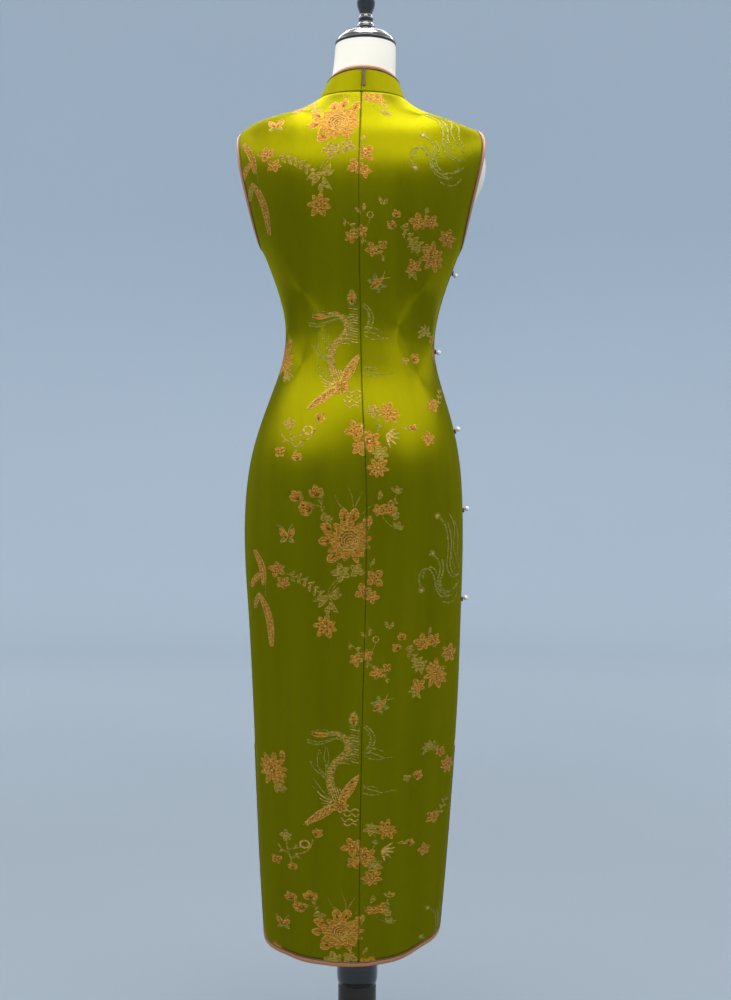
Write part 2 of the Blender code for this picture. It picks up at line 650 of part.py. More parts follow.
def collar_half(name, side):
    top = 1.0 - COLLAR_EDGE / COLLAR_HEIGHT
    places = []
    for height in COLLAR_HEIGHTS:
        level = COLLAR_SEAM + (top - COLLAR_SEAM) * height
        back = collar_back_offset(side, level)
        front = COLLAR_EDGE / COLLAR_TOP.front_depth - collar_front_offset(height)
        steps = [back + (front - back) * c / COLLAR_COLUMNS for c in range(COLLAR_COLUMNS + 1)]
        places.append([(around(side, offset), level) for offset in steps])
    return wall(name, collar_points, places, COLLAR_CLOTH, LIME)


# ---------------------------------------------------------------- zip


def zip_tape():
    """The concealed zip's tape and coil, behind the centre-back seam."""
    places = []
    for level, _ in side_rows(LEFT, BACK, SEAM / 2):
        if level > BODY.level(ZIP_END_Z):
            edges = (seam_offset(LEFT, level, shift) for shift in (ZIP_WIDTH / 2, -ZIP_WIDTH / 2))
            places.append([(edge, level) for edge in edges])
    return wall("zip_tape", dress_points, places, ZIP_THICK, BROWN, 0.5, -(CLOTH + ZIP_BEHIND))


def zip_frame():
    """Where the slider lies: its middle on the collar's face, the way out of the cloth, and up."""
    height = 1.0 - SLIDER_BELOW_TOP / COLLAR_HEIGHT
    angle = collar_back_offset(LEFT, height, 0.0)
    here = Vector(collar_points(angle, height))
    up = Vector(collar_points(angle, 1.0)) - here
    up.x = 0.0
    up.normalize()
    return here, up.cross(Vector((1, 0, 0))), up


def zip_slider():
    """The slider's body, with a wire bridge over it that holds the pull tab."""
    here, out, up = zip_frame()
    across = Vector((1, 0, 0))
    face = here + out * SLIDER_SEAT
    mesh = bmesh.new()
    size = Matrix.Diagonal((*SLIDER, 1.0))
    turned_way = Matrix((across, out, up)).transposed().to_4x4()
    middle = Matrix.Translation(face + out * SLIDER.y / 2)
    bmesh.ops.create_cube(mesh, size=1.0, matrix=middle @ turned_way @ size)
    body = new_object("zip_slider", mesh, BRASS, 0.3, 1.0)
    bridge = bmesh.new()
    foot = face + out * (SLIDER.y - BRIDGE_SUNK)
    rings = []
    for step in range(BRIDGE_STEPS + 1):
        bend = math.pi * step / BRIDGE_STEPS
        way = up * math.cos(bend) + out * math.sin(bend)
        ring = []
        for k in range(BRIDGE_SIDES):
            twist = math.tau * k / BRIDGE_SIDES
            round_wire = (way * math.cos(twist) + across * math.sin(twist)) * BRIDGE_WIRE
            ring.append(bridge.verts.new(foot + way * BRIDGE_RADIUS + round_wire))
        rings.append(ring)
    join_rings(bridge, rings)
    bridge.faces.new(rings[0])
    bridge.faces.new(rings[-1])
    bmesh.ops.recalc_face_normals(bridge, faces=bridge.faces)
    hoop = new_object("zip_bridge_helper", bridge, BRASS, 0.3, 1.0)
    hoop.hide_render = True
    hoop.display_type = "WIRE"
    join = body.modifiers.new("bridge", "BOOLEAN")
    join.operation = "UNION"
    join.object = hoop
    return body


def zip_pull():
    """The pull tab, modelled hanging from its hinge axis, which is its origin."""
    here, out, up = zip_frame()
    hinge = here + out * (SLIDER_SEAT + SLIDER.y + TAB_AXIS_OUT)
    rise = (hinge - here).dot(out) - TAB_THICK / 2 - TAB_TIP_CLEAR - BINDING_PROUD
    lean = math.asin(rise / TAB_LENGTH)
    down = (-up * math.cos(lean) - out * math.sin(lean)).normalized()
    across = Vector((1, 0, 0))
    thick_way = across.cross(down).normalized()
    half_eye, half_tab = TAB_EYE_WIDTH / 2, TAB_WIDTH / 2
    rod = TAB_THICK / 2
    tip, shoulder = half_tab - TAB_CORNER, TAB_LENGTH - TAB_CORNER
    outline = (
        (-half_tab, -rod), (half_tab, -rod), (half_tab, shoulder),
        (tip, TAB_LENGTH), (-tip, TAB_LENGTH), (-half_tab, shoulder),
    )
    eye = ((-half_eye, rod), (half_eye, rod), (half_eye, TAB_EYE_LENGTH), (-half_eye, TAB_EYE_LENGTH))
    mesh = bmesh.new()
    plates = []
    for shift in (-rod, rod):
        plate = []
        for shape in (outline, eye):
            corners = [across * x + down * y + thick_way * shift for x, y in shape]
            plate.append([mesh.verts.new(corner) for corner in corners])
        plates.append(plate)
    for ring, hole in plates:
        mesh.faces.new((ring[0], ring[1], hole[1], hole[0]))
        mesh.faces.new((ring[1], ring[2], hole[2], hole[1]))
        mesh.faces.new((ring[2], ring[3], ring[4], ring[5], hole[3], hole[2]))
        mesh.faces.new((ring[5], ring[0], hole[0], hole[3]))
    for part in (0, 1):
        a, b = plates[0][part], plates[1][part]
        for k in range(len(a)):
            m = (k + 1) % len(a)
            mesh.faces.new((a[k], a[m], b[m], b[k]))
    bmesh.ops.recalc_face_normals(mesh, faces=mesh.faces)
    bmesh.ops.triangulate(mesh, faces=mesh.faces)
    tab = new_object("zip_pull", mesh, BRASS, 0.3, 1.0)
    tab.location = hinge
    return tab


# ---------------------------------------------------------------- frog fastenings


def surface_frame(angle, level):
    here = Vector(dress_points(angle, level))
    out = Vector(normals(dress_points, np.array(angle), np.array(level)))
    up = (Vector((0, 0, 1)) - out * out.z).normalized()
    return here, out, up


def frog(index, angle, level, ball_shift):
    """A loop of dark cord lying on the cloth, and the pale ball that it holds."""
    here, out, up = surface_frame(angle, level)
    axes = Matrix((up.cross(out), up, out)).transposed().to_4x4()
    seat = here + out * (PIPING_PROUD + 2 * SEAM + FROG_CORD)
    loop = bmesh.new()
    rings = []
    for i in range(FROG_LOOP_STEPS):
        swing = math.tau * i / FROG_LOOP_STEPS
        ring = []
        for k in range(FROG_CORD_SIDES):
            twist = math.tau * k / FROG_CORD_SIDES
            reach = FROG_LOOP + FROG_CORD * math.cos(twist)
            rise = FROG_CORD * math.sin(twist)
            ring.append(loop.verts.new((reach * math.cos(swing), reach * math.sin(swing), rise)))
        rings.append(ring)
    join_rings(loop, rings + rings[:1])
    bmesh.ops.recalc_face_normals(loop, faces=loop.faces)
    loop_object = new_object(f"frog_loop_{index}", loop, BROWN, 0.5)
    loop_object.matrix_world = Matrix.Translation(seat) @ axes
    shift = ball_shift * MM
    reach = FROG_BALL + FROG_CORD + SEAM
    lift = math.sqrt(reach**2 - (FROG_LOOP - abs(shift)) ** 2)
    ball = bmesh.new()
    bmesh.ops.create_uvsphere(ball, u_segments=12, v_segments=8, radius=FROG_BALL)
    ball_object = new_object(f"frog_ball_{index}", ball, PEARL, 0.25)
    ball_object.matrix_world = Matrix.Translation(seat + up * shift + out * lift) @ axes


def frogs():
    """Five frogs down the right side, one at the collar's foot and one on the diagonal edge."""
    edge = SEAM + PIPING / 2
    places = [(math.pi + turn(edge, level), level) for level in map(BODY.level, FROG_SIDE_Z)]
    path = placket(BINDING / 2)
    places += [(path[0][0], BODY.top - FROG_NECK_DROP), path[FROG_PLACKET_COLUMN]]
    for index, (place, shift) in enumerate(zip(places, FROG_BALL_SHIFT), 1):
        frog(index, *place, shift)


# ---------------------------------------------------------------- form and stand


def form_points(angle, level):
    """The form's face under the dress: the dress's surface, let in by the cloth and a clearance, and
    hollowed inside each armhole."""
    points, normal = dress_points(angle, level), normals(dress_points, angle, level)
    above_tip = np.clip((level - BODY.level(SHOULDER_REST_Z)) / SHOULDER_REST_FADE, 0, 1)
    below_neck = np.clip((BODY.top - level) / SHOULDER_REST_FADE, 0, 1)
    beside_neck = np.clip(4 * np.abs(np.cos(angle)) - 2.4, 0, 1)
    carried = above_tip * below_neck * beside_neck
    clear = FORM_CLEAR + (FORM_TOUCH - FORM_CLEAR) * carried
    off_z = (points[..., 2] - ARM_PLATE_Z) / ARM_PLATE_SPREAD_Z
    off_side = np.arcsin(np.clip(np.sin(angle), -1, 1)) / ARM_PLATE_SPREAD_TURN
    hollow = ARM_PLATE_HOLLOW * np.exp(-(off_z**2) - off_side**2)
    return points - normal * (CLOTH + clear + hollow)[..., None]


def form_torso():
    """The limbless form, smooth and whole from under the seat to the top of its neck."""
    angles = np.arange(FORM_COLUMNS) * math.tau / FORM_COLUMNS
    levels = [BODY.level(z) for z in (FORM_BOTTOM_Z, *BODY_LEVELS_Z[2:])]
    sweeps = [math.pi * step / ARMHOLE_STEPS for step in range(ARMHOLE_STEPS + 1)]
    levels += [armhole_place(LEFT, sweep, EDGE)[1] for sweep in sweeps]
    levels += map(BODY.level, FORM_SHOULDER_LEVELS_Z)
    rings = [form_points(angles, np.full(FORM_COLUMNS, level)) for level in levels]
    for ring in NECK_RINGS:
        rings.append(ring_points(ring._asdict(), angles))
    mesh = bmesh.new()
    rows = [[mesh.verts.new(tuple(p)) for p in ring] for ring in rings]
    join_rings(mesh, rows)
    mesh.faces.new(rows[0])
    mesh.faces.new(rows[-1])
    bmesh.ops.recalc_face_normals(mesh, faces=mesh.faces)
    return new_object("form_torso", mesh, WHITE, 0.35)


def build():
    for thing in list(bpy.data.objects):
        bpy.data.objects.remove(thing)
    back_half("back_left", LEFT)
    back_half("back_right", RIGHT)
    front_main()
    front_right()
    collar_half("collar_left", LEFT)
    collar_half("collar_right", RIGHT)
    collar = {"surface": collar_points, "wide": COLLAR_BINDING, "thick": COLLAR_CLOTH}
    edge_bands("collar_left", lambda inset: collar_rim(LEFT, inset), **collar)
    edge_bands("collar_right", lambda inset: collar_rim(RIGHT, inset), **collar)
    edge_bands("armhole_left", lambda inset: armhole_path(LEFT, inset), closed=True)
    edge_bands("armhole_right", lambda inset: armhole_path(RIGHT, inset), closed=True)
    edge_bands("back_skirt", lambda inset: slit_and_hem(BACK, inset))
    edge_bands("front_skirt", lambda inset: slit_and_hem(FRONT, inset))
    edge_bands("placket", lambda inset: placket(EDGE - inset))
    side_closure()
    zip_tape()
    zip_slider()
    zip_pull()
    frogs()
    form_torso()
    turned("neck_cap", NECK_CAP, BLACK, 0.15)
    turned("finial", FINIAL, BLACK, 0.15, steps=20)
    turned("pole", POLE, CHARCOAL, 0.3, 1.0, steps=20)
    turned("column", COLUMN, CHARCOAL, 0.4)
    turned("base", BASE, BLACK, 0.3, steps=40)


build()
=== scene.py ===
"""Finished look of a sleeveless ankle-length cheongsam on a limbless dress form.

The worn surface, the seams and the fastenings keep the frame's own sizes. This file adds the
brocade, the bound and piped edges, the sewing, the zip's coil, the creases and the finishes.
Metres, +Z up; the dress faces -Y, so the wearer's left side is +X.
"""

import json
import math
from collections import namedtuple
from functools import partial

import bmesh
import bpy
import numpy as np
from bpy.props import FloatProperty, FloatVectorProperty, IntProperty, PointerProperty
from mathutils import Matrix, Vector

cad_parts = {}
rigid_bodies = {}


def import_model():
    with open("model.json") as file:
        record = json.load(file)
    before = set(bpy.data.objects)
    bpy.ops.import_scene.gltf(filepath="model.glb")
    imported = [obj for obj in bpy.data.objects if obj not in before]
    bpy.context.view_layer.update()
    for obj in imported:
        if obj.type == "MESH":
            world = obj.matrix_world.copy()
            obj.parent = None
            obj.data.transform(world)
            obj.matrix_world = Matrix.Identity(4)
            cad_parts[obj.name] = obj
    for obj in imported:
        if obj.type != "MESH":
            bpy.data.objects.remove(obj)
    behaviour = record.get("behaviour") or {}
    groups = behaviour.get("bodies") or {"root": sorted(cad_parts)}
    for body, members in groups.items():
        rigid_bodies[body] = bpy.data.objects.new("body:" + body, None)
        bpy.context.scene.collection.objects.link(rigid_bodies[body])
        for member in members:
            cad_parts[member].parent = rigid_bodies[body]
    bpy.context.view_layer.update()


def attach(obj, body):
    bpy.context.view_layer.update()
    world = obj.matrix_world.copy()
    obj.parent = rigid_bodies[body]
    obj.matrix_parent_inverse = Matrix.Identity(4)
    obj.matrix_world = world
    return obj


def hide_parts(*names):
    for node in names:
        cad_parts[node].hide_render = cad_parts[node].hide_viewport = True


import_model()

bl_info = {
    "name": "Cheongsam on a dress form",
    "version": (1, 0, 0),
    "blender": (4, 5, 0),
    "location": "View3D > Sidebar > Cheongsam",
    "description": "Makes a cheongsam's cloth, brocade, bound edges, zip, frogs, form and stand",
    "category": "Object",
}

MM = 0.001
LEFT, RIGHT = 1, -1  # the wearer's sides: +X and -X
BACK, FRONT = 1, -1  # the dress faces: +Y and -Y
DRESS, TAB = "dress_on_form", "zip_pull"  # the two bodies

# ---------------------------------------------------------------- sizes shared with the frame

CLOTH = 1.4 * MM
SEAM = 0.3 * MM
BINDING = 5.2 * MM
PIPING = 1.9 * MM
EDGE = BINDING + PIPING + 2 * SEAM
BINDING_PROUD = 0.4 * MM
PIPING_PROUD = 0.7 * MM
TUCK = 1.1 * MM  # how far the cloth runs in under its piping

HEM_Z = 0.200
HEM_RISE = {LEFT: 0.015, RIGHT: 0.030}
HEM_CORNER = 8 * MM
SLIT_TOP_Z = 0.510
SLIT_GAPE = 3.0 * MM
ARMPIT_Z = 1.252
TIP_Z = {LEFT: 1.4095, RIGHT: 1.4195}
ARMHOLE_REACH = {
    (LEFT, BACK): 0.042, (RIGHT, BACK): 0.046, (LEFT, FRONT): 0.052, (RIGHT, FRONT): 0.052,
}
PLACKET_END_Z = 1.222
PLACKET_SWEEP = 0.68
PLACKET_BASE_Z = 1.05

Ring = namedtuple(
    "Ring", "side_z back_z front_z half_width centre_x back_depth front_depth squareness seam_x"
)
DRESS_RINGS = (
    Ring(0.190, 0.1900, 0.190, 0.1285, 0.0092, 0.0980, 0.0950, 2.3, -0.0023),
    Ring(0.320, 0.3200, 0.320, 0.1385, 0.0082, 0.0990, 0.0970, 2.3, -0.0022),
    Ring(0.450, 0.4500, 0.450, 0.1466, 0.0072, 0.1005, 0.0990, 2.3, -0.0030),
    Ring(0.580, 0.5800, 0.580, 0.1536, 0.0070, 0.1025, 0.1000, 2.3, -0.0046),
    Ring(0.700, 0.7000, 0.700, 0.1590, 0.0090, 0.1065, 0.1010, 2.3, -0.0070),
    Ring(0.800, 0.8000, 0.800, 0.1632, 0.0112, 0.1155, 0.1035, 2.3, -0.0079),
    Ring(0.870, 0.8700, 0.870, 0.1622, 0.0114, 0.1205, 0.1070, 2.2, -0.0075),
    Ring(0.930, 0.9300, 0.930, 0.1560, 0.0101, 0.1200, 0.1085, 2.2, -0.0050),
    Ring(0.990, 0.9900, 0.990, 0.1415, 0.0081, 0.1100, 0.1065, 2.1, -0.0015),
    Ring(1.040, 1.0400, 1.040, 0.1250, 0.0068, 0.0960, 0.1010, 2.1, 0.0008),
    Ring(1.090, 1.0900, 1.090, 0.1126, 0.0055, 0.0835, 0.0945, 2.1, 0.0026),
    Ring(1.140, 1.1400, 1.140, 0.1142, 0.0038, 0.0795, 0.0930, 2.1, 0.0038),
    Ring(1.190, 1.1900, 1.190, 0.1275, 0.0036, 0.0865, 0.0980, 2.2, 0.0052),
    Ring(1.235, 1.2350, 1.235, 0.1443, 0.0042, 0.0960, 0.1045, 2.3, 0.0063),
    Ring(1.280, 1.2795, 1.275, 0.1613, 0.0053, 0.1030, 0.1075, 2.5, 0.0071),
    Ring(1.325, 1.3230, 1.312, 0.1737, 0.0055, 0.1060, 0.1045, 2.7, 0.0077),
    Ring(1.365, 1.3590, 1.338, 0.1812, 0.0050, 0.1035, 0.0965, 2.8, 0.0078),
    Ring(1.395, 1.3840, 1.354, 0.1832, 0.0042, 0.0965, 0.0870, 2.6, 0.0072),
    Ring(1.413, 1.4010, 1.364, 0.1788, 0.0052, 0.0900, 0.0798, 2.4, 0.0068),
    Ring(1.427, 1.4165, 1.373, 0.1630, 0.0085, 0.0835, 0.0728, 2.2, 0.0064),
    Ring(1.442, 1.4345, 1.382, 0.1211, 0.0080, 0.0762, 0.0656, 2.1, 0.0060),
    Ring(1.457, 1.4515, 1.391, 0.0838, 0.0053, 0.0690, 0.0590, 2.0, 0.0055),
    Ring(1.469, 1.4663, 1.400, 0.0655, 0.0040, 0.0620, 0.0530, 2.0, 0.0052),
)
COLLAR_TOP = Ring(1.500, 1.5070, 1.441, 0.0515, 0.0025, 0.0565, 0.0480, 2.0, 0.0017)
NECK_RINGS = (
    Ring(1.482, 1.4800, 1.425, 0.0530, 0.0030, 0.0530, 0.0455, 2.0, 0.0),
    Ring(1.500, 1.4990, 1.458, 0.0484, 0.0025, 0.0508, 0.0440, 2.0, 0.0),
    Ring(1.525, 1.5250, 1.505, 0.0464, 0.0010, 0.0480, 0.0440, 2.0, 0.0),
    Ring(1.552, 1.5520, 1.552, 0.0452, 0.0000, 0.0452, 0.0452, 2.0, 0.0),
)

Bulge = namedtuple("Bulge", "facing x z spread_x spread_z rise")
BULGES = (
    Bulge(FRONT, 0.084, 1.236, 0.050, 0.050, 0.025),
    Bulge(FRONT, -0.076, 1.236, 0.050, 0.050, 0.025),
    Bulge(FRONT, 0.004, 1.236, 0.038, 0.052, 0.010),
    Bulge(BACK, 0.082, 0.905, 0.055, 0.070, 0.009),
    Bulge(BACK, -0.070, 0.905, 0.055, 0.070, 0.009),
    Bulge(BACK, 0.088, 1.330, 0.045, 0.055, 0.004),
    Bulge(BACK, -0.076, 1.330, 0.045, 0.055, 0.004),
)
Trough = namedtuple("Trough", "angle spread depth top_z")
SKIRT_TROUGHS = (
    Trough(38.0, 11.0, 3.0 * MM, 0.66),
    Trough(66.0, 9.0, 2.2 * MM, 0.58),
    Trough(112.0, 10.0, 2.6 * MM, 0.62),
    Trough(146.0, 10.0, 4.0 * MM, 0.70),
    Trough(222.0, 12.0, 3.4 * MM, 0.68),
    Trough(262.0, 9.0, 2.0 * MM, 0.56),
    Trough(304.0, 12.0, 3.0 * MM, 0.66),
)

# What the hang of the cloth adds: a line on the back or the front, as wide and as deep as it shows.
# A negative depth is a ridge.
Crease = namedtuple("Crease", "facing x0 z0 x1 z1 width depth")
CREASES = (
    # waist darts of the back, each pressed to one side
    Crease(BACK, 0.089, 1.075, 0.090, 0.925, 0.0035, 0.0007),
    Crease(BACK, 0.085, 1.065, 0.085, 0.930, 0.0050, -0.0005),
    Crease(BACK, -0.064, 1.070, -0.093, 0.945, 0.0035, 0.0006),
    Crease(BACK, -0.060, 1.060, -0.088, 0.945, 0.0050, -0.0005),
    # soft drags across the small of the back
    Crease(BACK, 0.140, 1.050, -0.140, 1.040, 0.0340, 0.0030),
    Crease(BACK, 0.098, 1.120, 0.020, 1.092, 0.0150, 0.0005),
    Crease(BACK, -0.100, 1.112, -0.030, 1.096, 0.0140, 0.0004),
    Crease(BACK, 0.095, 1.155, 0.030, 1.138, 0.0140, 0.0004),
    # the turn of the back over the blades, then from the armholes down to them
    Crease(BACK, 0.110, 1.402, -0.110, 1.400, 0.0240, -0.0020),
    Crease(BACK, 0.140, 1.300, 0.085, 1.235, 0.0100, 0.0010),
    Crease(BACK, -0.128, 1.305, -0.082, 1.250, 0.0090, 0.0009),
    Crease(BACK, -0.120, 1.270, -0.095, 1.190, 0.0080, 0.0008),
    Crease(BACK, 0.126, 1.270, 0.100, 1.180, 0.0090, 0.0008),
    # under the seat, where the skirt starts to hang
    Crease(BACK, 0.120, 0.880, 0.040, 0.862, 0.0200, 0.0012),
    Crease(BACK, -0.100, 0.885, -0.030, 0.860, 0.0180, 0.0011),
    # long soft folds of the skirt
    Crease(BACK, 0.118, 0.760, 0.112, 0.330, 0.0160, 0.0026),
    Crease(BACK, 0.092, 0.700, 0.088, 0.260, 0.0130, -0.0020),
    Crease(BACK, 0.048, 0.640, 0.046, 0.230, 0.0150, 0.0021),
    Crease(BACK, -0.052, 0.700, -0.050, 0.240, 0.0140, 0.0022),
    Crease(BACK, -0.084, 0.620, -0.080, 0.250, 0.0120, -0.0018),
    Crease(BACK, -0.112, 0.740, -0.104, 0.300, 0.0150, 0.0026),
    # waist darts and bust drags of the front
    Crease(FRONT, 0.072, 1.140, 0.076, 0.985, 0.0035, 0.0007),
    Crease(FRONT, -0.066, 1.135, -0.072, 0.990, 0.0035, 0.0006),
    Crease(FRONT, 0.118, 1.205, 0.096, 1.225, 0.0045, 0.0008),
    Crease(FRONT, -0.110, 1.195, -0.090, 1.218, 0.0045, 0.0008),
    Crease(FRONT, 0.060, 1.195, 0.052, 1.110, 0.0120, 0.0010),
    Crease(FRONT, -0.056, 1.190, -0.046, 1.115, 0.0110, 0.0009),
    Crease(FRONT, 0.095, 1.120, 0.025, 1.098, 0.0100, 0.0009),
    Crease(FRONT, -0.092, 1.105, -0.020, 1.088, 0.0110, 0.0009),
    Crease(FRONT, 0.110, 1.340, 0.070, 1.285, 0.0100, 0.0009),
    Crease(FRONT, 0.020, 0.905, 0.092, 0.890, 0.0200, 0.0010),
    Crease(FRONT, -0.025, 0.900, -0.100, 0.880, 0.0190, 0.0010),
    Crease(FRONT, 0.100, 0.740, 0.094, 0.300, 0.0150, 0.0024),
    Crease(FRONT, 0.064, 0.660, 0.060, 0.240, 0.0130, -0.0018),
    Crease(FRONT, 0.016, 0.700, 0.012, 0.250, 0.0150, 0.0019),
    Crease(FRONT, -0.030, 0.620, -0.034, 0.230, 0.0140, -0.0016),
    Crease(FRONT, -0.070, 0.720, -0.066, 0.280, 0.0140, 0.0022),
    Crease(FRONT, -0.108, 0.660, -0.100, 0.260, 0.0130, 0.0020),
)
CREASE_END = 0.15  # the share of a crease's depth that is left at its ends
# How far the cloth's edge stands off round each armhole, and how wide a strip of it does.
STAND_TIP, STAND_PIT, STAND_WIDTH = 6.5 * MM, 2.0 * MM, 26 * MM
STAND_BACK, STAND_FRONT = 4.0 * MM, 3.0 * MM
STAND_TURN = 1.2  # radians to each side of an armhole's middle
SEAM_DIP, SEAM_DIP_WIDTH = 1.1 * MM, 1.9 * MM  # both sides of the centre-back seam roll in

FORM_BOTTOM_Z = 0.720
FORM_CLEAR = 3.5 * MM  # from the cloth's inside to the form
FORM_TOUCH = 1.5 * MM  # the same over the shoulders, which carry the dress
SHOULDER_REST_Z = 1.405
SHOULDER_REST_FADE = 20 * MM
# How deep, how high up and how wide the plate inside each armhole is hollowed. One that is negative
# bulges.
ARM_PLATE_HOLLOW = {LEFT: 6.0 * MM, RIGHT: -11.0 * MM}
ARM_PLATE_Z = {LEFT: 1.315, RIGHT: 1.356}
ARM_PLATE_SPREAD_Z = 0.040
ARM_PLATE_SPREAD_TURN = 0.22
Turn = namedtuple("Turn", "radius z")
NECK_CAP = (
    Turn(0.0000, 1.5525), Turn(0.0456, 1.5525), Turn(0.0462, 1.5560), Turn(0.0440, 1.5610),
    Turn(0.0370, 1.5680), Turn(0.0260, 1.5735), Turn(0.0165, 1.5765), Turn(0.0000, 1.5775),
)
FINIAL = (
    Turn(0.0000, 1.5780), Turn(0.0143, 1.5780), Turn(0.0138, 1.5830), Turn(0.0102, 1.5870),
    Turn(0.0108, 1.5905), Turn(0.0112, 1.5950), Turn(0.0090, 1.5990), Turn(0.0100, 1.6040),
    Turn(0.0130, 1.6110), Turn(0.0140, 1.6190), Turn(0.0132, 1.6270), Turn(0.0105, 1.6350),
    Turn(0.0062, 1.6410), Turn(0.0000, 1.6435),
)
POLE = (Turn(0.0000, 0.2153), Turn(0.0127, 0.2153), Turn(0.0127, 0.7197), Turn(0.0000, 0.7197))
COLUMN = (
    Turn(0.0000, 0.0303), Turn(0.0285, 0.0303), Turn(0.0285, 0.1420), Turn(0.0272, 0.1440),
    Turn(0.0290, 0.1465), Turn(0.0304, 0.1520), Turn(0.0308, 0.1620), Turn(0.0304, 0.1720),
    Turn(0.0290, 0.1775), Turn(0.0272, 0.1800), Turn(0.0272, 0.1860), Turn(0.0240, 0.1980),
    Turn(0.0190, 0.2080), Turn(0.0150, 0.2150), Turn(0.0000, 0.2150),
)
COLUMN_BAND_Z = (0.1440, 0.1800)  # the glossy ring of the column
BASE = (
    Turn(0.0000, 0.0000), Turn(0.1960, 0.0000), Turn(0.2000, 0.0040), Turn(0.2000, 0.0090),
    Turn(0.1960, 0.0130), Turn(0.1200, 0.0165), Turn(0.0560, 0.0200), Turn(0.0440, 0.0240),
    Turn(0.0400, 0.0300), Turn(0.0000, 0.0300),
)

ZIP_END_Z = 0.930
ZIP_WIDTH = 5.0 * MM
ZIP_BEHIND = 0.6 * MM  # how far the tape lies behind the cloth's inside, and its own thickness
SLIDER = Vector((4.4, 2.0, 8.0)) * MM
SLIDER_BELOW_TOP = 6.5 * MM
SLIDER_SEAT = BINDING_PROUD + PIPING_PROUD + SEAM
BRIDGE_RADIUS = 2.6 * MM
BRIDGE_WIRE = 0.55 * MM
TAB_AXIS_OUT = 1.05 * MM
TAB_WIDTH, TAB_LENGTH, TAB_THICK = 4.8 * MM, 25.0 * MM, 0.9 * MM
TAB_EYE_WIDTH, TAB_EYE_LENGTH = 2.6 * MM, 8.0 * MM
TAB_CORNER = 1.6 * MM
TAB_TIP_CLEAR = 0.8 * MM
FROG_SIDE_Z = (1.213, 1.094, 0.974, 0.856, 0.7225)
FROG_NECK_DROP = 10 * MM
FROG_PLACKET_SHARE = 0.6
FROG_BALL_SHIFT = (-2.0, -2.0, 2.0, 2.0, 2.0, -1.5, -1.5)
FROG_CORD = 1.15 * MM
FROG_LOOP = 2.7 * MM
FROG_BALL = 3.6 * MM

COLLAR_HEIGHT = 0.041
COLLAR_SEAM = 0.012  # the share of the height at which the collar's cloth starts
COLLAR_FRONT_ROUND = 0.020
COLLAR_FRONT_LEAN = 0.10
COLLAR_BINDING = 4.2 * MM
COLLAR_EDGE = COLLAR_BINDING + PIPING + 2 * SEAM


# ---------------------------------------------------------------- the worn surface


def smooth_through(knots, values):
    """A natural cubic spline through a table's values, as a function of the knots' measure."""
    count = len(knots)
    steps = np.diff(knots)
    slopes = np.diff(values) / steps
    matrix = np.eye(count)
    right = np.zeros(count)
    for i in range(1, count - 1):
        matrix[i, i - 1 : i + 2] = steps[i - 1], 2 * (steps[i - 1] + steps[i]), steps[i]
        right[i] = 6 * (slopes[i] - slopes[i - 1])
    bend = np.linalg.solve(matrix, right)

    def value(at):
        i = np.clip(np.searchsorted(knots, at) - 1, 0, count - 2)
        before, after, step = at - knots[i], knots[i + 1] - at, steps[i]
        return (
            (bend[i] * after**3 + bend[i + 1] * before**3) / (6 * step)
            + (values[i] / step - bend[i] * step / 6) * after
            + (values[i + 1] / step - bend[i + 1] * step / 6) * before
        )

    return value


FINE_LEVELS = 4000
SMALL_STEP = 1e-4  # for slopes along the worn surface, in radians and metres


class Rings:
    """A closed surface through a table of rings. A level is the length along its side."""

    def __init__(self, rings):
        table = np.array(rings)
        side = table[:, [Ring._fields.index("side_z"), Ring._fields.index("half_width")]]
        steps = np.linalg.norm(np.diff(side, axis=0), axis=1)
        self.knots = np.concatenate([[0.0], np.cumsum(steps)])
        self.top = self.knots[-1]
        self.column = {
            name: smooth_through(self.knots, table[:, i]) for i, name in enumerate(Ring._fields)
        }
        self.fine = np.linspace(0.0, self.top, FINE_LEVELS)
        self.fine_z = self.column["side_z"](self.fine)

    def level(self, side_z):
        """The level at which the side of the body is this high."""
        return np.interp(side_z, self.fine_z, self.fine)

    def points(self, angle, level):
        ring = {name: value(level) for name, value in self.column.items()}
        return ring_points(ring, angle)


def ring_points(ring, angle):
    c, s = np.cos(angle), np.sin(angle)
    behind = s >= 0
    depth = np.where(behind, ring["back_depth"], ring["front_depth"])
    end_z = np.where(behind, ring["back_z"], ring["front_z"])
    n = ring["squareness"]
    radius = (np.abs(c / ring["half_width"]) ** n + np.abs(s / depth) ** n) ** (-1 / n)
    z = ring["side_z"] * c**2 + end_z * s**2
    return np.stack([ring["centre_x"] + radius * c, radius * s, z], axis=-1)


BODY = Rings(DRESS_RINGS)


def dress_points(angle, level):
    """Points of the dress's outer face: the rings, the body's bulges and the skirt's troughs."""
    angle, level = np.broadcast_arrays(np.asarray(angle, float), np.asarray(level, float))
    points = BODY.points(angle, level)
    x, z = points[..., 0].copy(), points[..., 2].copy()
    facing_share = np.sin(angle)
    for bulge in BULGES:
        share = np.clip(bulge.facing * facing_share, 0, 1)
        fade = ((x - bulge.x) / bulge.spread_x) ** 2 + ((z - bulge.z) / bulge.spread_z) ** 2
        points[..., 1] += bulge.facing * bulge.rise * share * np.exp(-fade)
    outward = np.stack([np.cos(angle), np.sin(angle)], axis=-1)
    for trough in SKIRT_TROUGHS:
        off = np.degrees(angle) % 360 - trough.angle
        hang = np.clip((trough.top_z - z) / (trough.top_z - HEM_Z), 0, 1.1)
        depth = trough.depth * np.exp(-((off / trough.spread) ** 2)) * hang**1.5
        points[..., :2] -= depth[..., None] * outward
    return points


def normals(surface, angle, level):
    """Outward unit normals of a surface, by small steps along it."""
    along = surface(angle + SMALL_STEP, level) - surface(angle - SMALL_STEP, level)
    up = surface(angle, level + SMALL_STEP) - surface(angle, level - SMALL_STEP)
    normal = np.cross(along, up)
    return normal / np.linalg.norm(normal, axis=-1, keepdims=True)


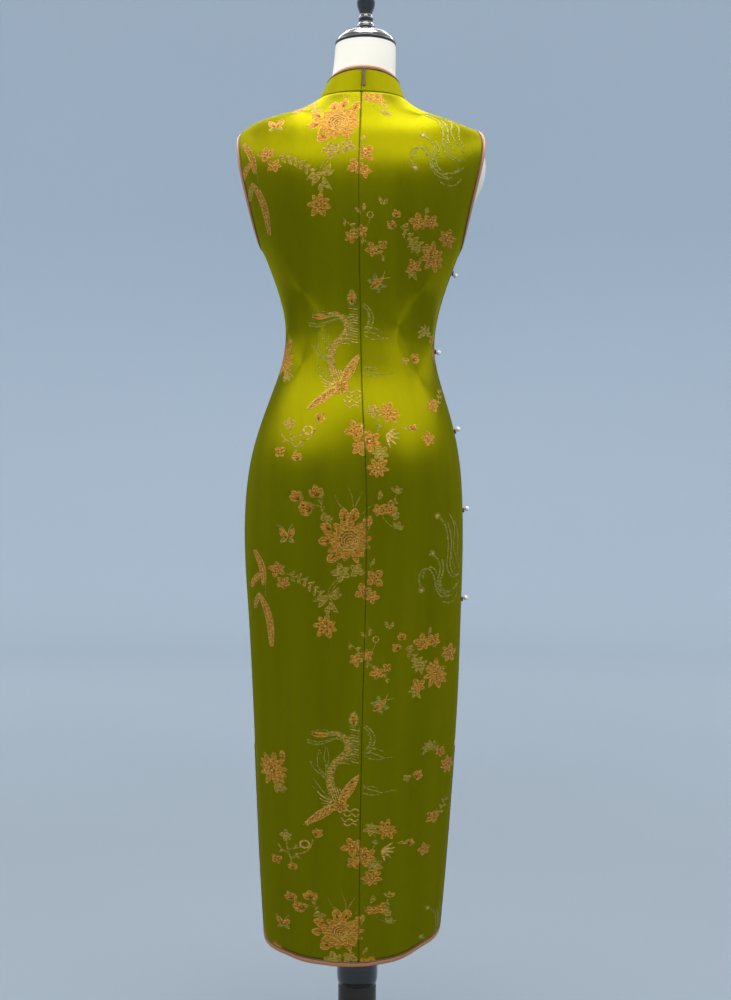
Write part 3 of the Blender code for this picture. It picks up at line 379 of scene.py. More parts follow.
def creased(angle, level, points):
    """How far the cloth stands in from the worn surface, from its creases and its back seam."""
    x, z = points[..., 0], points[..., 2]
    total = np.zeros(x.shape)
    depth_of = bpy.context.scene.cheongsam_cloth.crease_depth
    for crease in CREASES:
        way = np.array([crease.x1 - crease.x0, crease.z1 - crease.z0])
        length = way @ way
        along = np.clip(((x - crease.x0) * way[0] + (z - crease.z0) * way[1]) / length, 0, 1)
        off_x, off_z = x - crease.x0 - along * way[0], z - crease.z0 - along * way[1]
        share = np.clip(3 * crease.facing * np.sin(angle), 0, 1)
        swell = CREASE_END + (1 - CREASE_END) * np.sin(math.pi * along) ** 0.8
        total += crease.depth * share * swell * np.exp(-(off_x**2 + off_z**2) / crease.width**2)
    off = np.abs(angle - seam_angle(level)) * BODY.column["back_depth"](level)
    dip = SEAM_DIP * np.clip(1 - off / SEAM_DIP_WIDTH, 0, 1) ** 2
    return depth_of * total + dip


def armhole_stand(angle, level):
    """How far the cloth stands off near an armhole, where it runs on straight instead of curling
    round the arm's plate."""
    total = np.zeros(np.shape(angle))
    for side, line in ((LEFT, 0.0), (LEFT, math.tau), (RIGHT, math.pi)):
        low, high = BODY.level(ARMPIT_Z), BODY.level(TIP_Z[side])
        tall, off = (high - low) / 2, angle - line
        face = np.where(off * side > 0, BACK, FRONT)
        wide = np.where(face > 0, ARMHOLE_REACH[side, BACK], ARMHOLE_REACH[side, FRONT])
        up = (level - (low + high) / 2) / tall
        across = np.abs(off) * BODY.column["half_width"](level) / wide
        oval = np.sqrt(up**2 + across**2) + 1e-9
        steep = np.sqrt((up / tall) ** 2 + (across / wide) ** 2) / oval
        away = np.clip((oval - 1) / steep, 0, None)
        beside = np.abs(across) / oval
        end = np.where(up > 0, STAND_TIP, STAND_PIT)
        rise = end + (np.where(face > 0, STAND_BACK, STAND_FRONT) - end) * beside
        near = np.abs(off) < STAND_TURN
        total += rise * np.clip(1 - away / STAND_WIDTH, 0, 1) ** 2 * near
    return total


def cloth_points(angle, level, lift=0.0):
    """The cloth's outer face, creases and all, raised by lift."""
    angle, level = np.broadcast_arrays(np.asarray(angle, float), np.asarray(level, float))
    points = dress_points(angle, level)
    out = lift - creased(angle, level, points) + armhole_stand(angle, level)
    return points + normals(dress_points, angle, level) * out[..., None]


def collar_face(angle, height):
    """Points of the collar's outer face. height runs from 0 at the neck seam to 1 at the top."""
    angle, height = np.broadcast_arrays(np.asarray(angle, float), np.asarray(height, float))
    rim = {name: np.full(angle.shape, value) for name, value in COLLAR_TOP._asdict().items()}
    top = ring_points(rim, angle)
    bottom = dress_points(angle, np.full(angle.shape, BODY.top))
    return bottom + (top - bottom) * height[..., None]


def collar_points(angle, height, lift=0.0):
    angle, height = np.broadcast_arrays(np.asarray(angle, float), np.asarray(height, float))
    lift = np.broadcast_to(lift, angle.shape)
    return collar_face(angle, height) + normals(collar_face, angle, height) * lift[..., None]


def around(side, offset):
    """The angle that lies this far (radians) behind a side of the body."""
    return offset if side == LEFT else math.pi - offset


def turn(length, level):
    """The angle that a short length round the side takes up at this level."""
    return length / BODY.column["half_width"](level)


def seam_shift(level):
    """How far the centre-back seam lies from the middle of its ring."""
    return BODY.column["seam_x"](level) - BODY.column["centre_x"](level)


def seam_angle(level):
    """The angle of the centre-back seam."""
    return math.pi / 2 - seam_shift(level) / BODY.column["back_depth"](level)


def seam_offset(side, level, gap=SEAM / 2):
    """How far (radians) the centre-back seam is behind a side, less half a seam's gap."""
    return math.pi / 2 - (side * seam_shift(level) + gap) / BODY.column["back_depth"](level)


def slit_offset(level):
    """Half of the slit's opening (radians), which grows towards the hem."""
    top, bottom = BODY.level(SLIT_TOP_Z), BODY.level(HEM_Z)
    share = np.clip((top - level) / (top - bottom), 0, None)
    return turn(SEAM / 2 + SLIT_GAPE * share**1.5, level)


def hem_level(angle):
    """The hem's level: lowest at the middle of the front and the back, higher at each slit."""
    c = np.cos(angle)
    rise = np.where(c > 0, HEM_RISE[LEFT], HEM_RISE[RIGHT])
    return BODY.level(HEM_Z + rise * np.abs(c) ** 3)


def armhole_place(side, sweep, outset):
    """A place on an armhole's oval, let out by outset. The sweep runs from the armpit round the
    back."""
    low, high = BODY.level(ARMPIT_Z), BODY.level(TIP_Z[side])
    level = (low + high) / 2 - ((high - low) / 2 + outset) * np.cos(sweep)
    behind = np.sin(sweep) >= 0
    reach = np.where(behind, ARMHOLE_REACH[side, BACK], ARMHOLE_REACH[side, FRONT]) + outset
    return around(side, turn(reach * np.sin(sweep), level)), level


# ---------------------------------------------------------------- where the cloth's threads lie

PEONY_Z = 0.813  # the row of big peonies across the seat of the back
MAP_ANGLES, MAP_LEVELS, MAP_MARGIN = 191, 360, 0.4  # the margin past each side is in radians
MAP_U, MAP_V = (-0.34, 0.34, 341), (-0.70, 0.80, 501)
MAP_ROUNDS = 8  # of closing in on a place from its flat coordinates


def sample(table, x, y):
    """Values of a table at fractional rows x and columns y."""
    i = np.clip(np.floor(x).astype(int), 0, table.shape[0] - 2)
    j = np.clip(np.floor(y).astype(int), 0, table.shape[1] - 2)
    a, b = np.clip(x - i, 0, 1), np.clip(y - j, 0, 1)
    low = table[i, j] * (1 - b) + table[i, j + 1] * b
    high = table[i + 1, j] * (1 - b) + table[i + 1, j + 1] * b
    return low * (1 - a) + high * a


def place_in(steps, value):
    """Where a value falls in a row of rising steps, as a fractional index."""
    return np.interp(value, steps, np.arange(len(steps)))


class ClothMap:
    """Flat cloth coordinates over the back or the front: u across from the middle, v up from the
    peony row, both in metres along the cloth."""

    def __init__(self, start, middle):
        self.angles = np.linspace(start - MAP_MARGIN, start + math.pi + MAP_MARGIN, MAP_ANGLES)
        self.levels = np.linspace(0.0, BODY.top, MAP_LEVELS)
        grid = dress_points(self.angles[None, :], self.levels[:, None])
        across = np.linalg.norm(np.diff(grid, axis=1), axis=-1)
        self.u = np.pad(np.cumsum(across, axis=1), ((0, 0), (1, 0)))
        up = np.linalg.norm(np.diff(grid, axis=0), axis=-1)
        self.v = np.pad(np.cumsum(up, axis=0), ((1, 0), (0, 0)))
        rows, columns = np.arange(MAP_LEVELS), np.arange(MAP_ANGLES)
        row = place_in(self.levels, BODY.level(PEONY_Z))
        self.u -= sample(self.u, rows, place_in(self.angles, middle(self.levels)))[:, None]
        self.v -= sample(self.v, np.full(MAP_ANGLES, row), columns)
        self.us, self.vs = np.linspace(*MAP_U), np.linspace(*MAP_V)
        self.angle_at = np.stack([np.interp(self.us, r, self.angles) for r in self.u])
        self.level_at = np.stack([np.interp(self.vs, c, self.levels) for c in self.v.T])

    def flat(self, angle, level):
        """(u, v) of places on the worn surface."""
        x, y = place_in(self.levels, level), place_in(self.angles, angle)
        return np.stack([sample(self.u, x, y), sample(self.v, x, y)], axis=-1)

    def worn(self, u, v):
        """(angle, level) of flat cloth coordinates."""
        angle = np.full(u.shape, self.angles[MAP_ANGLES // 2])
        for _ in range(MAP_ROUNDS):
            level = sample(self.level_at, place_in(self.angles, angle), place_in(self.vs, v))
            angle = sample(self.angle_at, place_in(self.levels, level), place_in(self.us, u))
        return angle, level


CLOTH_MAPS = {
    BACK: ClothMap(0.0, seam_angle),
    FRONT: ClothMap(math.pi, lambda level: np.full(np.shape(level), 1.5 * math.pi)),
}


# ---------------------------------------------------------------- node helpers


def add(tree, kind, settings=None, **inputs):
    """A node with its settings made and its inputs set or joined. Spaces in a socket's name are
    written _, and a name such as _1 is the socket's number."""
    node = tree.nodes.new(kind)
    for name, value in (settings or {}).items():
        setattr(node, name, value)
    for name, value in inputs.items():
        key = int(name[1:]) if name[0] == "_" and name[1:].isdigit() else name.replace("_", " ")
        if isinstance(value, bpy.types.NodeSocket):
            tree.links.new(value, node.inputs[key])
        else:
            node.inputs[key].default_value = value
    return node


def maths(tree, operation, *values):
    numbered = {f"_{i}": value for i, value in enumerate(values)}
    return add(tree, "ShaderNodeMath", {"operation": operation}, **numbered).outputs[0]


def stretched_noise(tree, place, scale, detail):
    """Noise drawn out along some of its axes: scale is how often it turns in a metre of each."""
    drawn = add(tree, "ShaderNodeMapping", Vector=place, Scale=scale).outputs[0]
    return add(tree, "ShaderNodeTexNoise", Vector=drawn, Scale=1.0, Detail=detail).outputs[0]


def node_group(kind, name, inputs, outputs):
    """A named node group with its sockets, and its input and output nodes."""
    tree = bpy.data.node_groups.new(name, kind)
    for label, socket_type, value in inputs:
        socket = tree.interface.new_socket(label, in_out="INPUT", socket_type=socket_type)
        if value is not None:
            socket.default_value = value
    for label, socket_type in outputs:
        tree.interface.new_socket(label, in_out="OUTPUT", socket_type=socket_type)
    return tree, tree.nodes.new("NodeGroupInput").outputs, tree.nodes.new("NodeGroupOutput").inputs


FLOAT, VECTOR, INTEGER = "NodeSocketFloat", "NodeSocketVector", "NodeSocketInt"
MATERIAL, GEOMETRY = "NodeSocketMaterial", "NodeSocketGeometry"


def grouped(tree, name, **inputs):
    return add(tree, "ShaderNodeGroup", {"node_tree": bpy.data.node_groups[name]}, **inputs).outputs


def make_shader_groups():
    """The effects that several finishes share."""
    if "Satin weave" in bpy.data.node_groups:
        return
    tree, given, out = node_group(
        "ShaderNodeTree",
        "Satin weave",
        [("Vector", VECTOR, None), ("Thread", FLOAT, 0.0004), ("Slub", FLOAT, 0.5),
         ("Floats", FLOAT, 0.0), ("Streaks", FLOAT, 0.0)],
        [("Height", FLOAT), ("Tone", FLOAT)],
    )
    split = add(tree, "ShaderNodeSeparateXYZ", Vector=given["Vector"]).outputs
    turns = maths(tree, "DIVIDE", math.tau, given["Thread"])
    warp = maths(tree, "SINE", maths(tree, "MULTIPLY", split["X"], turns))
    weft_turns = maths(tree, "MULTIPLY", turns, 0.35)
    stagger = maths(tree, "MULTIPLY", split["X"], maths(tree, "MULTIPLY", turns, 0.4))
    weft = maths(tree, "SINE", maths(tree, "MULTIPLY_ADD", split["Y"], weft_turns, stagger))
    slub = stretched_noise(tree, given["Vector"], (900.0, 45.0, 45.0), 3.0)
    threads = maths(tree, "MULTIPLY_ADD", warp, 0.7, maths(tree, "MULTIPLY", weft, 0.3))
    uneven = maths(tree, "MULTIPLY", slub, given["Slub"])
    tree.links.new(maths(tree, "MULTIPLY_ADD", threads, 0.5, uneven), out["Height"])
    float_noise = stretched_noise(tree, given["Vector"], (190.0, 460.0, 300.0), 3.0)
    floats = maths(tree, "MULTIPLY_ADD", float_noise, 3.0, -1.0)
    apart = maths(tree, "MULTIPLY", maths(tree, "SUBTRACT", floats, slub), given["Floats"])
    # painted shade: a slow noise drawn out along the hang, whose soft light and dark streaks in the
    # tone stand in for the shading of folds
    hang = stretched_noise(tree, given["Vector"], (24.0, 1.8, 10.0), 2.0)
    painted_fold_tone = maths(tree, "MULTIPLY", maths(tree, "SUBTRACT", hang, 0.5), given["Streaks"])
    tree.links.new(maths(tree, "ADD", maths(tree, "ADD", slub, apart), painted_fold_tone), out["Tone"])

    tree, given, out = node_group(
        "ShaderNodeTree",
        "Cord twist",
        [("Vector", VECTOR, None), ("Turns along", FLOAT, 40.0), ("Turns round", FLOAT, 3.0)],
        [("Height", FLOAT), ("Tone", FLOAT)],
    )
    split = add(tree, "ShaderNodeSeparateXYZ", Vector=given["Vector"]).outputs
    along = maths(tree, "MULTIPLY", split["X"], given["Turns along"])
    lay = maths(tree, "MULTIPLY_ADD", split["Y"], given["Turns round"], along)
    strand = maths(tree, "SINE", maths(tree, "MULTIPLY", lay, math.tau))
    tree.links.new(maths(tree, "ABSOLUTE", strand), out["Height"])
    tree.links.new(maths(tree, "MULTIPLY_ADD", strand, 0.5, 0.5), out["Tone"])

    tree, given, out = node_group(
        "ShaderNodeTree",
        "Handling wear",
        [("Vector", VECTOR, None), ("Patch size", FLOAT, 0.02), ("Amount", FLOAT, 0.5)],
        [("Mask", FLOAT), ("Scuffs", FLOAT)],
    )
    rate = maths(tree, "DIVIDE", 1.0, given["Patch size"])
    cloud = add(tree, "ShaderNodeTexNoise", Vector=given["Vector"], Scale=rate, Detail=5.0)
    sharp = maths(tree, "SMOOTH_MIN", maths(tree, "MULTIPLY", cloud.outputs[0], 1.6), 1.0, 0.2)
    tree.links.new(maths(tree, "MULTIPLY", sharp, given["Amount"]), out["Mask"])
    lines = stretched_noise(tree, given["Vector"], (700.0, 90.0, 700.0), 2.0)
    tree.links.new(maths(tree, "MULTIPLY", lines, given["Amount"]), out["Scuffs"])


def finish_base(name, **fixed):
    """A new finish: its material, tree and shader, with the shader's fixed values set."""
    material = bpy.data.materials.new(name)
    material.use_nodes = True
    shader = material.node_tree.nodes["Principled BSDF"]
    for label, value in fixed.items():
        shader.inputs[label.replace("_", " ")].default_value = value
    return material, material.node_tree, shader.inputs


def raised(tree, shader, height, strength, distance):
    relief = add(tree, "ShaderNodeBump", Strength=strength, Distance=distance, Height=height)
    tree.links.new(relief.outputs[0], shader["Normal"])


def tinted(tree, factor, dark, light):
    mix = add(tree, "ShaderNodeMix", {"data_type": "RGBA"})
    tree.links.new(factor, mix.inputs[0])
    mix.inputs[6].default_value, mix.inputs[7].default_value = (*dark, 1.0), (*light, 1.0)
    return mix.outputs[2]


def cloth_finish(
    name, dark, light, thread, roughness, bump, uv=True, slub=0.5, floats=0.0, streaks=0.0,
    **fixed
):
    """Woven silk: a two-tone thread, uneven by its slubs, with the weave as relief. floats makes it
    the brocade's weft, which lies in short uneven lengths. Its painted fold shade paints soft
    streaks of light and shade along the hang into its colour."""
    material, tree, shader = finish_base(name, **fixed)
    if uv:
        place = add(tree, "ShaderNodeUVMap", {"uv_map": "cloth"}).outputs[0]
    else:
        place = add(tree, "ShaderNodeTexCoord").outputs["Object"]
    weave = grouped(
        tree, "Satin weave", Vector=place, Thread=thread, Slub=slub, Floats=floats, Streaks=streaks
    )
    tree.links.new(tinted(tree, weave["Tone"], dark, light), shader["Base Color"])
    uneven = maths(tree, "MULTIPLY_ADD", weave["Tone"], 0.12, roughness - 0.06)
    tree.links.new(uneven, shader["Roughness"])
    raised(tree, shader, weave["Height"], bump, thread * 0.5)
    return material


def solid_finish(name, dark, light, roughness, patch, amount, **fixed):
    """Metal, lacquer or moulded plastic, with its handling in the roughness and the tone."""
    material, tree, shader = finish_base(name, **fixed)
    place = add(tree, "ShaderNodeTexCoord").outputs["Object"]
    wear = grouped(tree, "Handling wear", Vector=place, Patch_size=patch, Amount=amount)
    tree.links.new(tinted(tree, wear["Mask"], dark, light), shader["Base Color"])
    uneven = maths(tree, "MULTIPLY_ADD", wear["Scuffs"], 0.25, roughness)
    tree.links.new(uneven, shader["Roughness"])
    raised(tree, shader, wear["Scuffs"], 0.05, 0.4 * MM)
    return material


def twisted_finish(name, dark, light, roughness, along, rounds, **fixed):
    """Twisted silk cord, its strands as relief."""
    material, tree, shader = finish_base(name, **fixed)
    place = add(tree, "ShaderNodeUVMap", {"uv_map": "cloth"}).outputs[0]
    twist = grouped(tree, "Cord twist", Vector=place, Turns_along=along, Turns_round=rounds)
    tree.links.new(tinted(tree, twist["Tone"], dark, light), shader["Base Color"])
    tree.links.new(maths(tree, "MULTIPLY_ADD", twist["Tone"], -0.1, roughness), shader["Roughness"])
    raised(tree, shader, twist["Height"], 0.6, 0.3 * MM)
    return material


def shade(colour, factor):
    return tuple(min(c * factor, 1.0) for c in colour)


def finish(name):
    """The named finish, made the first time that a piece asks for it."""
    if name in bpy.data.materials:
        return bpy.data.materials[name]
    make_shader_groups()
    cloth = bpy.context.scene.cheongsam_cloth
    trim = bpy.context.scene.cheongsam_trim
    stand = bpy.context.scene.cheongsam_stand
    lime, peach, brown = cloth.ground_colour, trim.binding_colour, trim.piping_colour
    size = cloth.thread_size
    silk = {  # each brocade thread's colour and roughness
        "apricot thread": (cloth.petal_colour, 0.48),
        "pale gold thread": (cloth.outline_colour, 0.46),
        "rust thread": (cloth.shadow_colour, 0.50),
        "leaf thread": (cloth.leaf_colour, 0.46),
        "moss gold thread": (cloth.plume_colour, 0.46),
    }
    if name in silk:
        colour, roughness = silk[name]
        return cloth_finish(
            name, shade(colour, 0.45), shade(colour, 1.35), size * 1.5, roughness, 0.5,
            floats=1.0, Metallic=0.3, Specular_IOR_Level=0.2, Specular_Tint=(1.0, 0.8, 0.4, 1.0),
        )
    makers = {
        # the ground's tone carries painted fold shade: soft light and dark streaks along its hang
        "lime satin ground": lambda n: cloth_finish(
            n, shade(lime, 0.86), shade(lime, 1.12), size, 0.50, 0.10, streaks=2.2,
            Metallic=0.85, Specular_IOR_Level=0.15, Anisotropic=0.7,
            Specular_Tint=(1.0, 0.95, 0.2, 1.0),
        ),
        "peach bias satin": lambda n: cloth_finish(
            n, shade(peach, 0.85), shade(peach, 1.1), size, 0.38, 0.12,
            Metallic=0.3, Specular_IOR_Level=0.4, Sheen_Weight=0.15,
        ),
        "brown piping satin": lambda n: cloth_finish(
            n, shade(brown, 0.7), shade(brown, 1.4), size, 0.36, 0.12, uv=False,
            Metallic=0.2, Sheen_Weight=0.1,
        ),
        "sewing thread": lambda n: cloth_finish(
            n, shade(brown, 1.6), shade(peach, 0.5), size, 0.5, 0.3, uv=False
        ),
        "zip tape": lambda n: cloth_finish(
            n, shade(brown, 0.5), shade(brown, 1.0), size, 0.6, 0.5, uv=False
        ),
        "zip coil": lambda n: solid_finish(n, brown, shade(brown, 1.6), 0.35, 0.004, 0.5),
        "worn brass": lambda n: solid_finish(
            n, (0.13, 0.09, 0.045), (0.30, 0.23, 0.13), 0.32, 0.004, 0.6, Metallic=1.0
        ),
        "silk cord": lambda n: twisted_finish(
            n, shade(brown, 0.5), shade(brown, 1.9), 0.5, 16.0, 2.0, Sheen_Weight=0.1
        ),
        "pearl button": lambda n: solid_finish(
            n, (0.70, 0.66, 0.56), (0.86, 0.83, 0.76), 0.16, 0.004, 0.6,
            Coat_Weight=0.6, Coat_Roughness=0.1,
        ),
        "white form cover": lambda n: solid_finish(
            n, shade(stand.form_colour, 0.93), stand.form_colour, 0.38, 0.06, 0.7,
            Specular_IOR_Level=0.4,
        ),
        "black lacquer": lambda n: solid_finish(
            n, (0.004, 0.004, 0.005), (0.016, 0.015, 0.015), 0.10, 0.01, 0.5,
            Coat_Weight=0.8, Coat_Roughness=0.05,
        ),
        "brown satin metal": lambda n: solid_finish(
            n, (0.045, 0.038, 0.030), (0.085, 0.073, 0.058), 0.26, 0.02, 0.6, Metallic=0.8
        ),
        "black base paint": lambda n: solid_finish(
            n, (0.010, 0.010, 0.011), (0.024, 0.023, 0.022), 0.24, 0.03, 0.6,
            Coat_Weight=0.3, Coat_Roughness=0.2,
        ),
    }
    return makers[name](name)


# ---------------------------------------------------------------- meshes


def placed(name, mesh):
    """A new object at the origin with this mesh."""
    piece = bpy.data.objects.new(name, mesh)
    bpy.context.scene.collection.objects.link(piece)
    return piece


def new_piece(name, points, faces, *finishes, uv=None, face_finish=None):
    """A new smooth piece. uv gives each corner of each face, or each point, its place."""
    mesh = bpy.data.meshes.new(name)
    mesh.from_pydata([tuple(p) for p in np.reshape(points, (-1, 3))], [], faces)
    for label in finishes:
        mesh.materials.append(finish(label))
    if face_finish is not None:
        mesh.polygons.foreach_set("material_index", np.asarray(face_finish, np.int32))
    if uv is not None:
        uv = np.asarray(uv, float).reshape(-1, 2)
        if len(uv) == len(mesh.vertices):
            corners = np.empty(len(mesh.loops), np.int32)
            mesh.loops.foreach_get("vertex_index", corners)
            uv = uv[corners]
        mesh.uv_layers.new(name="cloth").data.foreach_set("uv", uv.ravel())
    mesh.shade_smooth()
    mesh.validate()
    mesh.update()
    return placed(name, mesh)


def dressed(piece, slot, *nodes, body=DRESS):
    """The piece rides on its body and stands for its nodes; its slot is not used."""
    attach(piece, body)
    if nodes:
        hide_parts(*nodes)
    return piece


def grid_faces(rows, columns, wrap_rows=False, wrap_columns=False):
    index = np.arange(rows * columns).reshape(rows, columns)
    if wrap_rows:
        index = np.vstack([index, index[:1]])
    if wrap_columns:
        index = np.hstack([index, index[:, :1]])
    corners = index[:-1, :-1], index[:-1, 1:], index[1:, 1:], index[1:, :-1]
    return np.stack([c.ravel() for c in corners], axis=-1).tolist()


def thickened(piece, thick):
    shell = piece.modifiers.new("cloth thickness", "SOLIDIFY")
    shell.thickness, shell.offset = thick, -1.0
    return piece


def flat_size(points):
    """(width, length, area) of a grid of cloth laid flat."""
    across = np.linalg.norm(np.diff(points, axis=1), axis=-1)
    up = np.linalg.norm(np.diff(points, axis=0), axis=-1)
    area = ((across[:-1] + across[1:]) / 2 * (up[:, :-1] + up[:, 1:]) / 2).sum()
    width, length = across.sum(axis=1).max(), up.sum(axis=0).max()
    return float(width), float(length), float(min(area, width * length))


def cloth_piece(name, surface, angle, level, thick, flat=None):
    """A cut piece of brocade ground over a grid of places, with its threads' directions as UVs."""
    if angle[len(angle) // 2, 0] > angle[len(angle) // 2, -1]:
        angle, level = angle[:, ::-1], level[:, ::-1]
    points = surface(angle, level)
    uv = flat(angle, level) if flat else np.stack([angle * 0.06, level * COLLAR_HEIGHT], axis=-1)
    piece = new_piece(name, points, grid_faces(*angle.shape), "lime satin ground", uv=uv)
    thickened(piece, thick)
    return piece, flat_size(points)


# ---------------------------------------------------------------- cut pieces of the dress

# Columns of a half panel from the middle to the side, and its rows from the hem to the neck
SEAM_SHARES = (0.0, 0.002, 0.0045, 0.0075, 0.0115)
HALF_COLUMNS = 54
SLIT_ROWS, SIDE_ROWS, ARM_ROWS, SHOULDER_ROWS = 66, 168, 58, 26
HEM_FADE_ROWS = 60


def side_rows(side, face):
    """Levels up a half panel's outer edge, and how far the edge lies behind or before the side."""
    slit_top, inset = BODY.level(SLIT_TOP_Z), EDGE - TUCK
    low = hem_level(around(side, 0.0)) + inset
    slit = np.linspace(low, slit_top - EDGE, SLIT_ROWS)
    armpit = BODY.level(ARMPIT_Z) - EDGE
    seam = np.linspace(slit_top - SEAM, armpit, SIDE_ROWS)[:-1]
    sweep = np.linspace(0.0, math.pi, ARM_ROWS)
    _, arm = armhole_place(side, sweep, EDGE)
    reach = (ARMHOLE_REACH[side, face] + inset) * np.sin(sweep)
    shoulder = np.linspace(arm[-1], BODY.top, SHOULDER_ROWS)[1:]
    level = np.concatenate([slit, seam, arm, shoulder])
    edge = np.concatenate([
        slit_offset(slit) + turn(inset, slit),
        turn(SEAM / 2, seam),
        turn(np.maximum(reach, SEAM / 2), arm),
        turn(SEAM / 2, shoulder),
    ])
    return level, edge


def hem_rows(level, angle, side):
    """Each row's level at each column. The lowest follow the hem, whose rise fades above them."""
    fade = np.clip(1 - np.arange(len(level)) / HEM_FADE_ROWS, 0, 1)[:, None] ** 2
    rise = hem_level(angle) - hem_level(around(side, 0.0))
    return np.broadcast_to(level, angle.shape) + rise * fade


def half_columns(middle, edge, level, share):
    """The columns nearest the middle keep their own lines where the armhole cuts in."""
    seam = np.sign(middle) * turn(SEAM / 2, level)
    return middle + (seam - middle) * share + (edge - seam) * share**3


def back_half(side):
    level, edge = (column[:, None] for column in side_rows(side, BACK))
    share = np.concatenate([SEAM_SHARES, np.linspace(0.016, 1.0, HALF_COLUMNS)])[None, :]
    angle = around(side, half_columns(seam_offset(side, level), edge, level, share))
    return angle, hem_rows(level, angle, side)


def placket(share, distance=0.0):
    """The diagonal edge of the main front, from the collar to the right side seam, moved outwards
    by distance along the surface."""
    start, end = BODY.top, BODY.level(PLACKET_END_Z)
    angle = math.pi * (1.5 - 0.5 * share)
    level = start - (start - end) * share**PLACKET_SWEEP
    if np.ndim(share) == 0 or np.all(distance == 0):
        return angle, level
    da, dl = np.gradient(angle), np.gradient(level)
    here = dress_points(angle, level)
    across = (dress_points(angle + SMALL_STEP, level) - here) / SMALL_STEP
    up = (here - dress_points(angle, level - SMALL_STEP)) / SMALL_STEP
    e, f, g = (across**2).sum(-1), (across * up).sum(-1), (up**2).sum(-1)
    length = np.sqrt(e * da * da + 2 * f * da * dl + g * dl * dl)
    scale = distance / (length * np.sqrt(e * g - f * f))
    moved_angle = angle + scale * (f * da + g * dl)
    moved_level = level - scale * (e * da + f * dl)
    moved_level[0] = start
    moved_angle[-1] = math.pi + SEAM / 2 / BODY.column["half_width"](moved_level[-1])
    return moved_angle, moved_level


PLACKET_SHARES = np.linspace(0.0, 1.0, 90) ** 1.6


def front_main():
    """The whole front but for its small right part. Right of the middle its rows drop, from the
    waist up, until the last one lies along the diagonal edge."""
    level, left_edge = (column[:, None] for column in side_rows(LEFT, FRONT))
    base = BODY.level(PLACKET_BASE_Z)
    lifted = np.clip(level - base, 0, None) / (BODY.top - base)
    share = np.linspace(1.0, 0.0, HALF_COLUMNS)[None, :-1]
    _, edge = placket(share)
    here = level + lifted * (edge - BODY.top)
    slit_top = BODY.level(SLIT_TOP_Z)
    sewn = turn(SEAM / 2 + PIPING / 2, here)
    open_edge = slit_offset(here) + turn(EDGE - TUCK, here)
    right_edge = np.where(here > slit_top - EDGE / 2, sewn, open_edge)
    right = 1.5 * math.pi - (math.pi / 2 - right_edge) * share
    columns = np.linspace(0.0, 1.0, HALF_COLUMNS + 1)[None, :]
    left = math.tau + half_columns(-math.pi / 2, -left_edge, level, columns)
    angle = np.hstack([right, left])
    level = np.hstack([here, np.broadcast_to(level, left.shape)])
    return angle, hem_rows(level, angle, LEFT)


def front_right():
    """The small right front: a patch between the diagonal edge, the neck, the shoulder seam and the
    armhole. It runs in under the diagonal edge's binding."""
    share = np.linspace(0.0, 1.0, 64)[None, :]
    low_angle, low_level = placket(share[0], EDGE - 2 * MM)
    neck_angle = math.pi + turn(SEAM / 2, BODY.top)
    _, tip = armhole_place(RIGHT, math.pi, EDGE)
    tip_angle = math.pi + turn(SEAM / 2, tip)
    first = max(low_level[-1], 0.0)
    sweep = np.linspace(0.0, math.pi, 60)
    arm_angle, arm_level = armhole_place(RIGHT, -sweep, EDGE - TUCK)
    arm_angle = np.maximum(arm_angle, math.pi + turn(SEAM / 2, arm_level))
    below = np.linspace(first, arm_level[0], 5)[:-1]
    arm_level = np.concatenate([below, arm_level])
    arm_angle = np.concatenate([math.pi + turn(SEAM / 2, below), arm_angle])
    up = np.linspace(0.0, 1.0, len(arm_level))[:, None]

    def patch(low, arm, low_neck, high_neck, high_tip):
        """Values over the patch from those along its four edges."""
        neck = low_neck + (high_neck - low_neck) * up
        across = neck * (1 - share) + arm[:, None] * share
        high = high_neck + (high_tip - high_neck) * share
        upward = low * (1 - up) + high * up
        base = low[0] + (low[-1] - low[0]) * share
        return across + upward - (base * (1 - up) + high * up)

    angle = patch(low_angle, arm_angle, low_angle[0], neck_angle, tip_angle)
    level = patch(low_level, arm_level, low_level[0], BODY.top, tip)
    return angle, level


# ---------------------------------------------------------------- edges


def slit_and_hem(face, inset):
    """The finished edge of one skirt panel, moved in by inset: down the left slit, along the hem
    and up the right slit, with rounded corners."""
    slit_top, arms = BODY.level(SLIT_TOP_Z), []
    corner = max(HEM_CORNER - inset, 0.6 * MM)
    for side in (LEFT, RIGHT):
        low = hem_level(around(side, 0.0)) + inset
        level = np.linspace(slit_top - inset, low + corner, 80)
        angle = around(side, face * (slit_offset(level) + turn(inset, level)))
        bend = np.linspace(0.0, math.pi / 2, 9)[1:]
        low_level = low + corner * (1 - np.sin(bend))
        across = slit_offset(low_level) + turn(inset + corner * (1 - np.cos(bend)), low_level)
        low_angle = around(side, face * across)
        low_level = low_level + hem_level(low_angle) - hem_level(around(side, 0.0))
        arms.append((np.append(angle, low_angle), np.append(level, low_level)))
    (left, left_level), (right, right_level) = arms
    if face == FRONT:
        right = right - math.tau
    hem = np.linspace(left[-1], right[-1], 110)[1:-1]
    return (
        np.concatenate([left, hem, right[::-1]]),
        np.concatenate([left_level, hem_level(hem) + inset, right_level[::-1]]),
    )


def armhole_edge(side, inset):
    return armhole_place(side, np.linspace(0.0, math.tau, 180, endpoint=False), inset)


def placket_edge(inset):
    return placket(PLACKET_SHARES, EDGE - inset)


def closure_edge(inset):
    level = np.linspace(BODY.level(SLIT_TOP_Z) + SEAM, BODY.level(PLACKET_END_Z), 170)
    return math.pi + turn(SEAM / 2 + inset, level), level


def collar_back_offset(side, height, gap=SEAM / 2):
    bottom, top = DRESS_RINGS[-1], COLLAR_TOP
    shift = (bottom.seam_x - bottom.centre_x) * (1 - height) + (top.seam_x - top.centre_x) * height
    depth = bottom.back_depth * (1 - height) + top.back_depth * height
    return math.pi / 2 - (side * shift + gap) / depth


